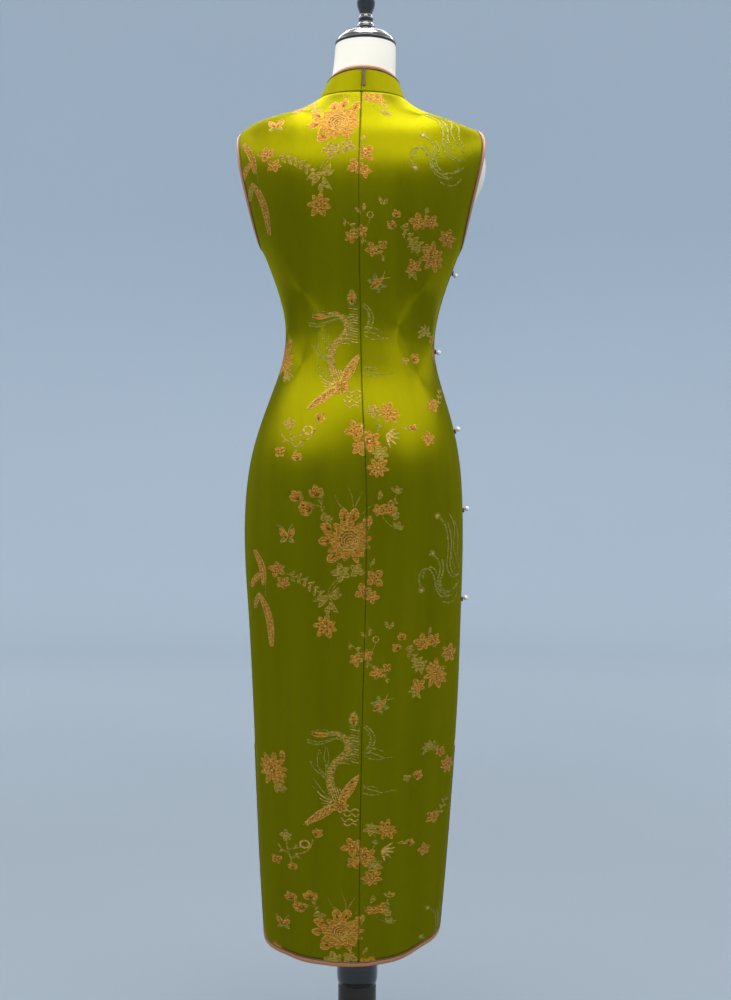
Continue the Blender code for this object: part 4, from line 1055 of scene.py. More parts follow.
def collar_front_offset(height):
    """How far (radians) the collar's rounded front edge is before the side, at a height."""
    rise = height * COLLAR_HEIGHT
    over = np.clip(rise - (COLLAR_HEIGHT - COLLAR_FRONT_ROUND), 0, COLLAR_FRONT_ROUND)
    rounded = (COLLAR_FRONT_ROUND - np.sqrt(COLLAR_FRONT_ROUND**2 - over**2)) / 2
    parted = COLLAR_FRONT_LEAN * rise**2 / COLLAR_HEIGHT
    return math.pi / 2 - (SEAM / 2 + parted + rounded) / DRESS_RINGS[-1].front_depth


def collar_heights(count):
    """Heights down the front edge, closest together where it rounds over to the top."""
    straight = 1 - COLLAR_FRONT_ROUND / COLLAR_HEIGHT
    bend = np.linspace(math.pi / 2, 0.0, count)
    curve = straight + (1 - straight) * np.sin(bend)
    return np.concatenate([curve, np.linspace(straight, 0.0, count // 2)[1:]])


def collar_edge(side, inset):
    """The collar's finished edge: from the zip along the top and round the front end."""
    top = 1.0 - inset / COLLAR_HEIGHT
    let_in = inset / COLLAR_TOP.front_depth
    back, front = collar_back_offset(side, 1.0), let_in - collar_front_offset(1.0)
    height = collar_heights(26)
    along = around(side, np.linspace(back, front, 90))
    down = around(side, let_in - collar_front_offset(height[1:]))
    return (
        np.append(along, down),
        np.append(np.full(90, top), np.maximum(height[1:] * top, COLLAR_SEAM)),
    )


def collar_half(side):
    top = 1.0 - (COLLAR_EDGE - TUCK) / COLLAR_HEIGHT
    level = COLLAR_SEAM + (top - COLLAR_SEAM) * collar_heights(22)[::-1]
    back = collar_back_offset(side, level)
    front = (COLLAR_EDGE - TUCK) / COLLAR_TOP.front_depth - collar_front_offset(level)
    share = np.linspace(0.0, 1.0, 70)[None, :]
    offset = back[:, None] + (front - back)[:, None] * share
    return around(side, offset), np.broadcast_to(level[:, None], offset.shape)


def rounded_section(count, squareness):
    """A flat cord's section, as shares of its half width and half thickness."""
    swing = np.arange(count) * math.tau / count
    c, s = np.cos(swing), np.sin(swing)
    return (
        np.sign(c) * np.abs(c) ** (2 / squareness),
        np.sign(s) * np.abs(s) ** (2 / squareness),
    )


def folded_binding(name, surface, edge, wide, low, high, closed=False, count=14):
    """A bias binding folded over an edge: edge(inset) gives the line that lies inset from it."""
    across, out = rounded_section(count, 2.8)
    rows = []
    for a, b in zip(across, out):
        angle, level = edge(wide / 2 * (1 + a))
        rows.append(surface(angle, level, (high + low) / 2 + (high - low) / 2 * b))
    points = np.stack(rows, axis=1)
    length = points.shape[0]
    faces = grid_faces(length, count, wrap_rows=closed, wrap_columns=True)
    if not closed:
        faces += [list(range(count))[::-1], [(length - 1) * count + k for k in range(count)]]
    way = np.linalg.norm(np.diff(points[:, 0], axis=0), axis=-1)
    along = np.concatenate([[0.0], np.cumsum(way)])
    round_it = np.arange(count) / count * 2 * wide
    uv = np.stack(np.broadcast_arrays(along[:, None], round_it[None, :]), axis=-1)
    piece = new_piece(name, points, faces, "peach bias satin", uv=uv)
    outward(piece)
    return piece


def outward(piece):
    """Turns the faces of a closed piece outwards."""
    mesh = bmesh.new()
    mesh.from_mesh(piece.data)
    bmesh.ops.remove_doubles(mesh, verts=mesh.verts, dist=1e-7)
    bmesh.ops.recalc_face_normals(mesh, faces=mesh.faces)
    mesh.to_mesh(piece.data)
    mesh.free()


# ---------------------------------------------------------------- geometry node trees


def result_of(source, name, tree, **values):
    """Gives the source the tree, with its named inputs set, and returns the result as a new plain
    piece. The source is removed."""
    modifier = source.modifiers.new("made", "NODES")
    modifier.node_group = tree
    for item in tree.interface.items_tree:
        label = item.name.replace(" ", "_").lower()
        if item.in_out == "INPUT" and label in values:
            modifier[item.identifier] = values[label]
    graph = bpy.context.evaluated_depsgraph_get()
    mesh = bpy.data.meshes.new_from_object(source.evaluated_get(graph), depsgraph=graph)
    if not mesh.polygons:
        raise RuntimeError(f"{name}: its node tree made no faces")
    bpy.data.objects.remove(source)
    mesh.name = name
    return placed(name, mesh)


def line_object(name, points, closed=False, **vectors):
    """A line of points as a mesh, with named vectors on its points."""
    count = len(points)
    edges = [(i, i + 1) for i in range(count - 1)] + ([(count - 1, 0)] if closed else [])
    mesh = bpy.data.meshes.new(name)
    mesh.from_pydata([tuple(p) for p in points], edges, [])
    for label, values in vectors.items():
        layer = mesh.attributes.new(label, "FLOAT_VECTOR", "POINT")
        layer.data.foreach_set("vector", np.asarray(values, float).ravel())
    return placed(name, mesh)


def named_tree(name, inputs):
    if name in bpy.data.node_groups:
        return bpy.data.node_groups[name], None, None
    return node_group(
        "GeometryNodeTree", name, [("Geometry", GEOMETRY, None), *inputs], [("Geometry", GEOMETRY)]
    )


def ended(tree, geometry, material, out):
    """Ends a tree: its shapes smooth, its copies real, and all in their finish."""
    smooth = add(tree, "GeometryNodeSetShadeSmooth", Geometry=geometry).outputs[0]
    real = add(tree, "GeometryNodeRealizeInstances", Geometry=smooth).outputs[0]
    set_it = add(tree, "GeometryNodeSetMaterial", Geometry=real, Material=material)
    tree.links.new(set_it.outputs[0], out["Geometry"])


def even_line(tree, given, step):
    """The given line, with points a step apart."""
    line = add(tree, "GeometryNodeMeshToCurve", Mesh=given["Geometry"]).outputs[0]
    return add(
        tree, "GeometryNodeResampleCurve", {"mode": "LENGTH"}, Curve=line, Length=given[step]
    ).outputs[0]


def turned_copies(tree, line, copy, **inputs):
    """Copies on a line's points, each along the line and flat on the cloth."""
    way = add(tree, "GeometryNodeInputTangent").outputs[0]
    up = add(tree, "GeometryNodeInputNamedAttribute", {"data_type": "FLOAT_VECTOR"},
             Name="cloth_out").outputs[0]
    along = add(tree, "FunctionNodeAlignRotationToVector", {"axis": "X"}, Vector=way)
    flat = add(tree, "FunctionNodeAlignRotationToVector", {"axis": "Z", "pivot_axis": "X"},
               Rotation=along.outputs[0], Vector=up).outputs[0]
    return add(tree, "GeometryNodeInstanceOnPoints", Points=line, Instance=copy, Rotation=flat,
               **inputs).outputs[0]


def piping_tree():
    """A round corded piping along a line."""
    tree, given, out = named_tree(
        "Corded piping",
        [("Radius", FLOAT, 0.0009), ("Step", FLOAT, 0.003), ("Sides", INTEGER, 12),
         ("Finish", MATERIAL, None)],
    )
    if given:
        ring = add(tree, "GeometryNodeCurvePrimitiveCircle", Resolution=given["Sides"],
                   Radius=given["Radius"]).outputs[0]
        tube = add(tree, "GeometryNodeCurveToMesh", Curve=even_line(tree, given, "Step"),
                   Profile_Curve=ring, Fill_Caps=True).outputs[0]
        ended(tree, tube, given["Finish"], out)
    return tree


def stitch_tree():
    """Small stitches along a line, each lying on the cloth."""
    tree, given, out = named_tree(
        "Stitches along an edge",
        [("Spacing", FLOAT, 0.003), ("Length", FLOAT, 0.0016), ("Thread", FLOAT, 0.0003),
         ("Finish", MATERIAL, None)],
    )
    if given:
        bead = add(tree, "GeometryNodeMeshUVSphere", Segments=6, Rings=4, Radius=0.5).outputs[0]
        size = add(tree, "ShaderNodeCombineXYZ", X=given["Length"], Y=given["Thread"],
                   Z=given["Thread"]).outputs[0]
        copies = turned_copies(tree, even_line(tree, given, "Spacing"), bead, Scale=size)
        ended(tree, copies, given["Finish"], out)
    return tree


def coil_tree():
    """A nylon zip's coil: one flat loop after another along its chain."""
    tree, given, out = named_tree(
        "Zip coil",
        [("Pitch", FLOAT, 0.0012), ("Loop width", FLOAT, 0.0036), ("Wire", FLOAT, 0.00035),
         ("Finish", MATERIAL, None)],
    )
    if given:
        half = maths(tree, "MULTIPLY", given["Loop width"], 0.5)
        tall = maths(tree, "MULTIPLY", given["Wire"], 1.6)
        loop = add(tree, "GeometryNodeCurvePrimitiveCircle", Resolution=8, Radius=1.0).outputs[0]
        stretch = add(tree, "ShaderNodeCombineXYZ", X=half, Y=tall, Z=1.0).outputs[0]
        flat_loop = add(tree, "GeometryNodeTransform", Geometry=loop, Scale=stretch,
                        Rotation=(math.pi / 2, 0.0, math.pi / 2)).outputs[0]
        ring = add(tree, "GeometryNodeCurvePrimitiveCircle", Resolution=5,
                   Radius=given["Wire"]).outputs[0]
        wire = add(tree, "GeometryNodeCurveToMesh", Curve=flat_loop, Profile_Curve=ring).outputs[0]
        copies = turned_copies(tree, even_line(tree, given, "Pitch"), wire)
        ended(tree, copies, given["Finish"], out)
    return tree


def piping(name, surface, edge, inset, closed=False):
    """A corded piping that lies inset from an edge."""
    trim = bpy.context.scene.cheongsam_trim
    line = line_object(name, surface(*edge(inset), trim.piping_lift), closed)
    return result_of(
        line, name, piping_tree(), radius=trim.piping_radius, finish=finish("brown piping satin")
    )


def stitches(name, surface, face, edge, inset, lift, closed=False):
    """A row of stitches that lies inset from an edge."""
    trim = bpy.context.scene.cheongsam_trim
    places = edge(inset)
    line = line_object(name, surface(*places, lift), closed, cloth_out=normals(face, *places))
    return result_of(
        line, name, stitch_tree(), spacing=trim.stitch_spacing, length=trim.stitch_length,
        thread=trim.stitch_thread, finish=finish("sewing thread"),
    )


# ---------------------------------------------------------------- brocade

# The threads of the brocade, and how one repeat of it is charted. The chart is in centimetres: x
# across from the back seam, y up from the middle of the big peony.
PETAL, PALE, LEAF, PLUME, RUST = range(5)
THREADS = (
    "apricot thread", "pale gold thread", "leaf thread", "moss gold thread", "rust thread",
)
LINE_STEP = 0.35
REPEAT_WIDE, REPEAT_TALL = 37.0, 61.2
TOP_PEONY_Z = 1.418  # the row of peonies over the shoulders, at the back seam
HEM_PEONY_Y = -56.3  # where the row at the hem really lies: the cloth is drawn in there


def smooth_line(points, step=LINE_STEP):
    """A smooth line through a few points, with a point for each step of its length."""
    p = np.array(points, float)
    knots = np.concatenate([[0.0], np.cumsum(np.linalg.norm(np.diff(p, axis=0), axis=1))])
    count = max(int(knots[-1] / step), 2) + 1
    at = np.linspace(0.0, knots[-1], count)
    if len(p) == 2:
        return p[0] + (p[1] - p[0]) * (at / knots[-1])[:, None]
    return np.stack([smooth_through(knots, p[:, k])(at) for k in (0, 1)], axis=-1)


def ways_and_sides(line):
    """The direction of a line at each of its points, and the direction to its left."""
    way = np.gradient(line, axis=0)
    way /= np.linalg.norm(way, axis=1, keepdims=True) + 1e-9
    return way, np.stack([-way[:, 1], way[:, 0]], axis=-1)


def pointing(degrees):
    return math.cos(math.radians(degrees)), math.sin(math.radians(degrees))


def round_line(x, y, reach, swing):
    """Points round (x, y), each as far out as its reach."""
    return np.stack([x + reach * np.cos(swing), y + reach * np.sin(swing)], axis=-1)


class Chart:
    """One repeat of the brocade, drawn flat. Each layer of thread lies over the one before it."""

    def __init__(self):
        self.points, self.faces, self.threads = [], [], []

    def fan(self, outline, thread, layer):
        """A filled outline. Wide ones have rings of points inside, so that they follow the body."""
        outline = np.asarray(outline, float)
        middle, count = outline.mean(axis=0), len(outline)
        rings = max(math.ceil(np.linalg.norm(outline - middle, axis=1).max() / 0.6), 1)
        start = len(self.points)
        self.points.append((*middle, layer))
        for k in range(1, rings + 1):
            self.points += [(*p, layer) for p in middle + (outline - middle) * k / rings]
        for k in range(count):
            after = (k + 1) % count
            self.faces.append((start, start + 1 + k, start + 1 + after))
            for ring in range(1, rings):
                low, high = start + 1 + (ring - 1) * count, start + 1 + ring * count
                self.faces.append((low + k, high + k, high + after, low + after))
        self.threads += [thread] * (count * rings)

    def strip(self, right, left, thread, layer):
        """A strip of thread between two lines with as many points."""
        start = len(self.points)
        for a, b in zip(right, left):
            self.points += [(*a, layer), (*b, layer)]
        for i in range(start, len(self.points) - 2, 2):
            self.faces.append((i, i + 2, i + 3, i + 1))
            self.threads.append(thread)

    def line(self, points, width, thread, layer, taper=0.0, step=LINE_STEP):
        """A line of thread. taper is the share of its width that it loses towards its end."""
        p = smooth_line(points, step)
        _, side = ways_and_sides(p)
        half = width / 2 * (1 - taper * np.linspace(0, 1, len(p)))[:, None]
        self.strip(p - side * half, p + side * half, thread, layer)
        return p

    def petal(self, x, y, way, length, width, layer, thread=PETAL, edge=PALE, rim=0.08, notch=0.0):
        """A petal from its foot at (x, y), with a pale outline."""
        c, s = pointing(way)
        t = np.array([0.0, 0.14, 0.34, 0.56, 0.76, 0.92])
        for grow, colour, over in ((rim, edge, 0), (0.0, thread, 1)):
            half = (width / 2 + grow) * np.sin(math.pi * t**0.85) ** 0.75
            half[0] = width * 0.10 + grow
            long = t * length * (1 + grow / max(length, 0.1))
            tip = length * (1 - notch) + grow
            across = np.concatenate([half, [0.0], -half[::-1]])
            along = np.concatenate([long, [tip], long[::-1]])
            outline = np.stack([x + along * c + across * s, y + along * s - across * c], axis=-1)
            self.fan(outline, colour, layer + over)
        if thread == PETAL and length > 0.45:
            foot, tip = (0.10, 0.58) if width < 0.6 else (0.05, 0.50)
            self.line(
                [(x + foot * length * c, y + foot * length * s),
                 (x + tip * length * c, y + tip * length * s)],
                width * 0.34, RUST, layer + 2, taper=0.9,
            )

    def leaf(self, x, y, way, length, width, layer=1, thread=LEAF, edge=PALE):
        """A pointed leaf, bowed to one side, with a pale outline."""
        c, s = pointing(way)
        t = np.linspace(0, 1, 6)
        for grow, colour, over in ((0.05, edge, 0), (0.0, thread, 1)):
            half = (width / 2 + grow) * np.sin(math.pi * t) ** 0.9
            across = np.concatenate([half, -half[-2:0:-1]])
            along = np.concatenate([t, t[-2:0:-1]]) * (length + 2 * grow) - grow
            bow = 0.12 * length * np.sin(math.pi * along / length)
            outline = np.stack(
                [x + along * c + (across + bow) * s, y + along * s - (across + bow) * c], axis=-1
            )
            self.fan(outline, colour, layer + over)

    def disc(self, x, y, r, thread, layer, count=9):
        self.fan(round_line(x, y, r, np.arange(count) / count * math.tau), thread, layer)

    def ring(self, x, y, r, width, thread, layer, scallop=0.0, count=14, lobes=7):
        swing = np.linspace(0, math.tau, count + 1)
        reach = r * (1 + scallop * np.abs(np.sin(swing * lobes / 2)))
        outer = round_line(x, y, reach + width / 2, swing)
        self.strip(outer, round_line(x, y, reach - width / 2, swing), thread, layer)

    def blossom(self, x, y, r, count=5, start=90.0, layer=1, thread=PETAL, edge=PALE):
        """An open flower: petals of uneven length with a little ground between them."""
        for k in range(count):
            uneven = math.sin(5.1 * k + 3.7 * x + 1.9 * y)
            way = start + k * 360 / count + 8 * uneven
            c, s = pointing(way)
            wide = 1.02 * r * math.sin(math.pi / count) * (1 + 0.15 * uneven)
            self.petal(
                x + 0.20 * r * c, y + 0.20 * r * s, way, r * (0.90 + 0.15 * uneven), wide, layer,
                thread, edge, rim=0.055, notch=0.06,
            )
        if r > 0.8:
            for k in range(count):
                way = start + (k + 0.5) * 360 / count
                c, s = pointing(way)
                self.petal(
                    x + 0.08 * r * c, y + 0.08 * r * s, way, r * 0.46,
                    0.6 * r * math.sin(math.pi / count), layer + 3, thread, edge, rim=0.05,
                )
        self.disc(x, y, r * 0.13, edge, layer + 5, 7)

    def bud(self, x, y, size, way, thread=PETAL):
        """Closed petals over a green cup, pointing the given way."""
        for turn_by, share in ((-38, 0.8), (38, 0.8), (0, 1.0)):
            self.petal(x, y, way + turn_by, size * share, size * 0.5, 1, thread, rim=0.08)
        for turn_by in (-75, 75):
            self.leaf(x, y, way + turn_by, size * 0.55, size * 0.26)

    def spray(self, points, leaf_size=0.8, thread=LEAF, skip=1, width=0.13):
        """A stem with small leaves on both sides of it."""
        line = self.line(points, width, thread, 1, step=0.45)
        for k in range(1, len(line) - 1, 1 + skip):
            dx, dy = line[k + 1] - line[k - 1]
            way = math.degrees(math.atan2(dy, dx))
            side = 52 if (k // (1 + skip)) % 2 else -52
            self.leaf(*line[k], way + side, leaf_size, leaf_size * 0.34, thread=thread)

    def scalloped(self, x, y, r, lobes, thread, layer, start=0.0, deep=0.12):
        """A disc with a scalloped edge."""
        count = lobes * 4
        swing = np.arange(count) / count * math.tau
        reach = r * (1 - deep + deep * np.abs(np.cos((swing - start) * lobes / 2)) ** 0.7)
        self.fan(round_line(x, y, reach, swing), thread, layer)

    def peony(self, x, y, r):
        """A full peony: three rounds of pointed petals round a rosette of furled edges."""
        rounds = ((14, 0.46, 0.60, 0.28, 5, 1), (12, 0.36, 0.48, 0.28, 19, 4),
                  (10, 0.24, 0.40, 0.30, 3, 7))
        for number, (count, foot, length, width, start, layer) in enumerate(rounds):
            self.scalloped(x, y, r * (foot + 0.55 * length), count, RUST, layer - 1, start=start)
            for k in range(count):
                uneven = math.sin(2.4 * k + 1.7 * number)
                way = start + k * 360 / count + 4 * uneven
                c, s = pointing(way)
                self.petal(
                    x + foot * r * c, y + foot * r * s, way, r * length * (1 + 0.16 * uneven),
                    r * width, layer, rim=0.06, notch=0.04,
                )
        rosette = ((0.50, 10), (0.39, 9), (0.29, 7), (0.19, 6), (0.10, 5))
        for step, (reach, lobes) in enumerate(rosette):
            cx, cy = x + 0.02 * r * step, y - 0.03 * r * step
            for inner, thread in ((0.0, PALE), (0.10, PETAL), (0.27, RUST)):
                size = r * reach - inner
                if size > 0.05:
                    over = 10 + 3 * step + (PALE, PETAL, RUST).index(thread)
                    self.scalloped(cx, cy, size, lobes, thread, over, start=0.6 * step)

    def feather(self, points, width, layer=1, stripes=True, thread=PETAL):
        """A long curved feather with a pale rib and slanting barbs."""
        p = smooth_line(points, 0.3)
        way, side = ways_and_sides(p)
        t = np.linspace(0, 1, len(p))
        half = width / 2 * np.sin(math.pi * (0.06 + 0.88 * t)) ** 0.6
        for grow, colour, over in ((0.08, PALE, 0), (0.0, thread, 1)):
            reach = (half + grow)[:, None]
            self.strip(p - side * reach, p + side * reach, colour, layer + over)
        self.line(p[:: max(len(p) // 6, 1)], 0.08, PALE, layer + 2)
        if stripes:
            for k in range(1, len(p) - 1, 2):
                for turn_by in (-1, 1):
                    end = p[k] + side[k] * half[k] * turn_by - way[k] * 0.3
                    self.line([p[k], end], 0.06, PALE, layer + 2)

    def wing(self, root, tip, width, side, layer=1):
        """A spread wing: a blade of thread under slanting feathers with rounded tips."""
        root, tip = np.array(root, float), np.array(tip, float)
        reach = np.linalg.norm(tip - root)
        along = (tip - root) / reach
        across = np.array([-along[1], along[0]]) * side
        way = math.degrees(math.atan2(along[1], along[0]))
        self.petal(*root, way, reach, width, layer)
        count, long = 11, 0.62 * width + 0.10 * reach
        for k in range(count):
            share = 0.80 * (count - 1 - k) / count
            thick = width * 0.5 * math.sin(math.pi * (0.15 + 0.75 * share)) ** 0.6
            x, y = root + along * reach * share - across * thick * 0.55
            self.petal(x, y, way + side * 30, long, 0.38, layer + 3 + 2 * (k % 2), rim=0.09)
        edge = []
        for t in (0.0, 0.35, 0.7, 1.0):
            bow = 0.45 * width * math.sin(math.pi * (0.1 + 0.9 * t))
            edge.append(root + along * reach * t - across * bow)
        self.line(edge, 0.17, PALE, layer + 8, taper=0.4)

    def moth(self, x, y, size, way):
        c, s = pointing(way)
        self.petal(x - size * 0.4 * c, y - size * 0.4 * s, way, size, size * 0.30, 3)
        for turn_by, share in ((52, 0.62), (-52, 0.62), (112, 0.5), (-112, 0.5)):
            self.petal(x, y, way + turn_by, size * share, size * 0.26, 1, PLUME, PLUME)
        for turn_by in (14, -14):
            a, b = pointing(way + turn_by)
            tip = (x + size * 0.95 * a, y + size * 0.95 * b)
            self.line([(x + size * 0.5 * c, y + size * 0.5 * s), tip], 0.07, PALE, 2)

    def crane_neck(self, points, wide, layer=1):
        """A long neck: rows of short slanting feathers between two outlines."""
        p = smooth_line(points, 0.30)
        way, side = ways_and_sides(p)
        half = (wide / 2 * (0.6 + 0.8 * np.linspace(0, 1, len(p))))[:, None]
        every = max(len(p) // 9, 1)
        for share in (0.45, -0.45, 0.0):
            self.line((p + share * side * half)[::every], wide * 0.5, LEAF, layer)
        for sign in (-1, 1):
            self.line((p + sign * side * half)[::every], 0.10, PLUME, layer + 1)
        for k in range(len(p) - 1):
            for sign in (-1, 1):
                end = p[k] + sign * side[k] * half[k] * 0.95 + way[k] * 0.28
                thread = (PALE, PETAL, LEAF)[(k + (sign > 0)) % 3]
                self.line([p[k] - way[k] * 0.1, end], 0.13, thread, layer + 2, taper=0.5)
        return p, half

    def blade(self, foot, tip, bow, width=0.15, thread=PLUME):
        """The outline of a narrow pointed feather."""
        foot, tip = np.array(foot, float), np.array(tip, float)
        across = np.array([-(tip - foot)[1], (tip - foot)[0]])
        for sign in (-1, 1):
            middle = foot + (tip - foot) * 0.55 + across * bow * sign
            self.line([foot, middle, tip], width, thread, 1, taper=0.3)


def bird_with_crest(chart):
    """The long-necked bird of the brocade: its head down, its wings open, its plumes spread."""
    chart.petal(-7.0, -28.25, -4, 2.2, 0.72, 5)
    chart.line([(-7.1, -27.9), (-6.0, -27.6), (-4.8, -27.7)], 0.12, PLUME, 4)
    for drop in (0.0, -0.42):
        chart.line(
            [(-7.6, -29.1 + drop), (-6.2, -29.4 + drop), (-4.8, -29.1 + drop * 0.6),
             (-3.4, -28.75 + drop * 0.3), (-2.6, -29.2)], 0.17, PLUME, 2,
        )
    for k in range(5):
        x = -7.5 + 0.36 * k
        chart.line([(x, -29.1 - 0.06 * k), (x + 0.1, -29.6 - 0.05 * k)], 0.09, PLUME, 2)
    neck, half = chart.crane_neck(
        [(-5.1, -28.3), (-4.2, -28.05), (-3.3, -28.15), (-2.4, -28.8), (-2.0, -29.8),
         (-2.2, -30.9), (-3.0, -31.7), (-3.8, -32.6), (-4.3, -33.8), (-4.4, -35.1),
         (-4.2, -36.4), (-3.7, -38.0)], 0.95, layer=3,
    )
    # the mane, from the back of the neck to the seam
    for k in range(9, 26):
        x, y = neck[k] + (float(half[k, 0]) * 0.8, 0.1)
        reach = min(-0.35 - x, 1.9) * (1.0 if k % 3 else 0.75)
        if reach > 0.3:
            chart.line(
                [(x, y), (x + reach * 0.5, y + 0.16), (x + reach, y - 0.02)], 0.14,
                PALE if k % 3 == 1 else PLUME, 2, taper=0.5,
            )
    # blades of the breast and of the far wing
    chart.blade((-5.2, -35.0), (-6.0, -30.6), 0.12)
    chart.blade((-4.9, -33.2), (-5.0, -30.1), 0.10)
    chart.blade((-5.0, -34.8), (-7.2, -32.4), 0.09)
    for tip in ((-6.7, -34.9), (-6.9, -36.0), (-6.1, -37.0), (-5.8, -38.0), (-5.6, -38.7),
                (-6.2, -35.5), (-5.3, -39.3)):
        foot = (-4.0, -38.3 - 0.04 * (tip[1] + 36.0))
        middle = ((tip[0] + foot[0]) / 2, (tip[1] + foot[1]) / 2 - 0.35)
        chart.line([foot, middle, tip], 0.16, PLUME if tip[1] > -36.5 else PALE, 1, taper=0.4)
    for k in range(5):
        x = -4.5 + 0.36 * k
        barb = [(x, -35.9 - 0.1 * k), (x + 0.3, -37.2), (x + 0.7, -38.4)]
        chart.line(barb, 0.15, PALE, 4, taper=0.4)
    chart.wing((-3.1, -38.7), (-0.35, -34.2), 1.35, -1, layer=5)
    chart.wing((-3.3, -38.8), (-7.9, -42.3), 1.25, 1, layer=5)
    for way in range(0, 360, 45):
        c, s = pointing(way)
        chart.petal(-2.9 + 0.2 * c, -39.0 + 0.2 * s, way, 0.95, 0.55, 12 + way // 45 % 2 * 2)
    for line in (
        [(-2.1, -39.4), (-1.5, -39.9), (-0.9, -39.5), (-0.25, -39.8)],
        [(-2.4, -40.2), (-1.8, -40.7), (-1.2, -40.2), (-0.7, -40.7), (-0.2, -40.3)],
        [(-2.7, -40.9), (-2.1, -41.5), (-1.5, -41.0), (-0.9, -41.5), (-0.3, -41.1)],
        [(-2.4, -41.7), (-1.8, -42.2), (-1.2, -41.8), (-0.5, -42.1)],
    ):
        chart.line(line, 0.26, LEAF, 1)
        chart.line(line, 0.11, PALE, 2)
    # its hanging ornament and the banded stalk under it, along the seam
    chart.petal(-1.2, -27.0, 90, 2.3, 1.35, 1, PLUME, PLUME)
    chart.petal(-1.2, -26.8, 90, 1.8, 0.85, 3)
    for k in range(14):
        y = -27.1 - 0.40 * k
        chart.line(
            [(-1.75 + 0.03 * k, y + 0.10), (-1.1, y), (-0.35, y - 0.14)], 0.13,
            (PLUME, PALE, PLUME, LEAF)[k % 4], 1,
        )
    # the curled plumes beyond the seam
    for arc in (
        [(0.25, -27.1), (1.1, -28.0), (1.2, -29.3), (0.6, -30.5)],
        [(0.45, -26.8), (1.65, -28.0), (1.75, -29.6), (0.9, -31.0)],
    ):
        chart.line(arc, 0.22, PLUME, 1)
    for k in range(9):
        y = -27.5 - 0.36 * k
        bulge = 0.75 + 0.45 * math.sin(math.pi * (k + 0.5) / 9)
        chart.line([(bulge - 0.25, y), (bulge + 0.35, y - 0.1)], 0.10, LEAF, 1)
    for line in (
        [(0.5, -30.9), (1.8, -31.0), (2.8, -31.5), (4.5, -31.6)],
        [(0.5, -31.3), (1.6, -31.9), (3.3, -31.7)],
        [(0.6, -30.2), (2.1, -30.3), (3.1, -30.7)],
        [(0.3, -35.8), (0.9, -36.3), (2.1, -36.7), (3.3, -37.0), (4.2, -36.7), (5.1, -36.8)],
        [(0.3, -37.0), (1.4, -37.3), (2.6, -37.2)],
        [(0.4, -36.3), (1.3, -36.0), (2.3, -36.2)],
    ):
        chart.line(line, 0.22, PLUME, 1, taper=0.4)


def trailing_plumes(chart):
    """Three curled plumes at the side of the repeat, each in double outline."""
    for line in (
        [(10.2, 3.5), (11.3, 2.4), (11.8, 0.6), (11.8, -2.0), (11.8, -4.4), (12.8, -5.4),
         (13.8, -5.2)],
        [(9.3, -1.9), (10.3, -3.0), (10.5, -4.6), (10.1, -6.2), (10.8, -7.6), (12.2, -7.5),
         (13.6, -6.4)],
        [(7.9, -7.2), (7.5, -5.8), (7.8, -4.5), (8.7, -4.1), (9.5, -5.0), (9.9, -6.6), (10.7, -8.1),
         (12.2, -8.2)],
    ):
        chart.line(line, 0.27, PLUME, 1, taper=0.2)
        chart.line([(x + 0.55, y + 0.22) for x, y in line[1:]], 0.24, PLUME, 1, taper=0.2)
        x, y = line[0]
        chart.ring(x, y, 0.40, 0.16, PLUME, 1, count=10)
        chart.disc(x, y, 0.26, PALE, 2, 8)
    for line in (
        [(12.3, 3.8), (13.2, 1.6), (12.9, -0.6), (13.4, -2.6), (14.4, -4.2)],
        [(13.2, 2.8), (14.0, 0.4), (13.8, -1.8), (14.6, -3.4)],
        [(12.4, 1.4), (12.5, -0.8), (12.5, -2.8), (13.3, -4.2)],
        [(11.0, -8.9), (12.0, -9.2), (13.0, -8.8), (13.8, -7.8)],
    ):
        chart.line(line, 0.22, PLUME, 1, taper=0.3)


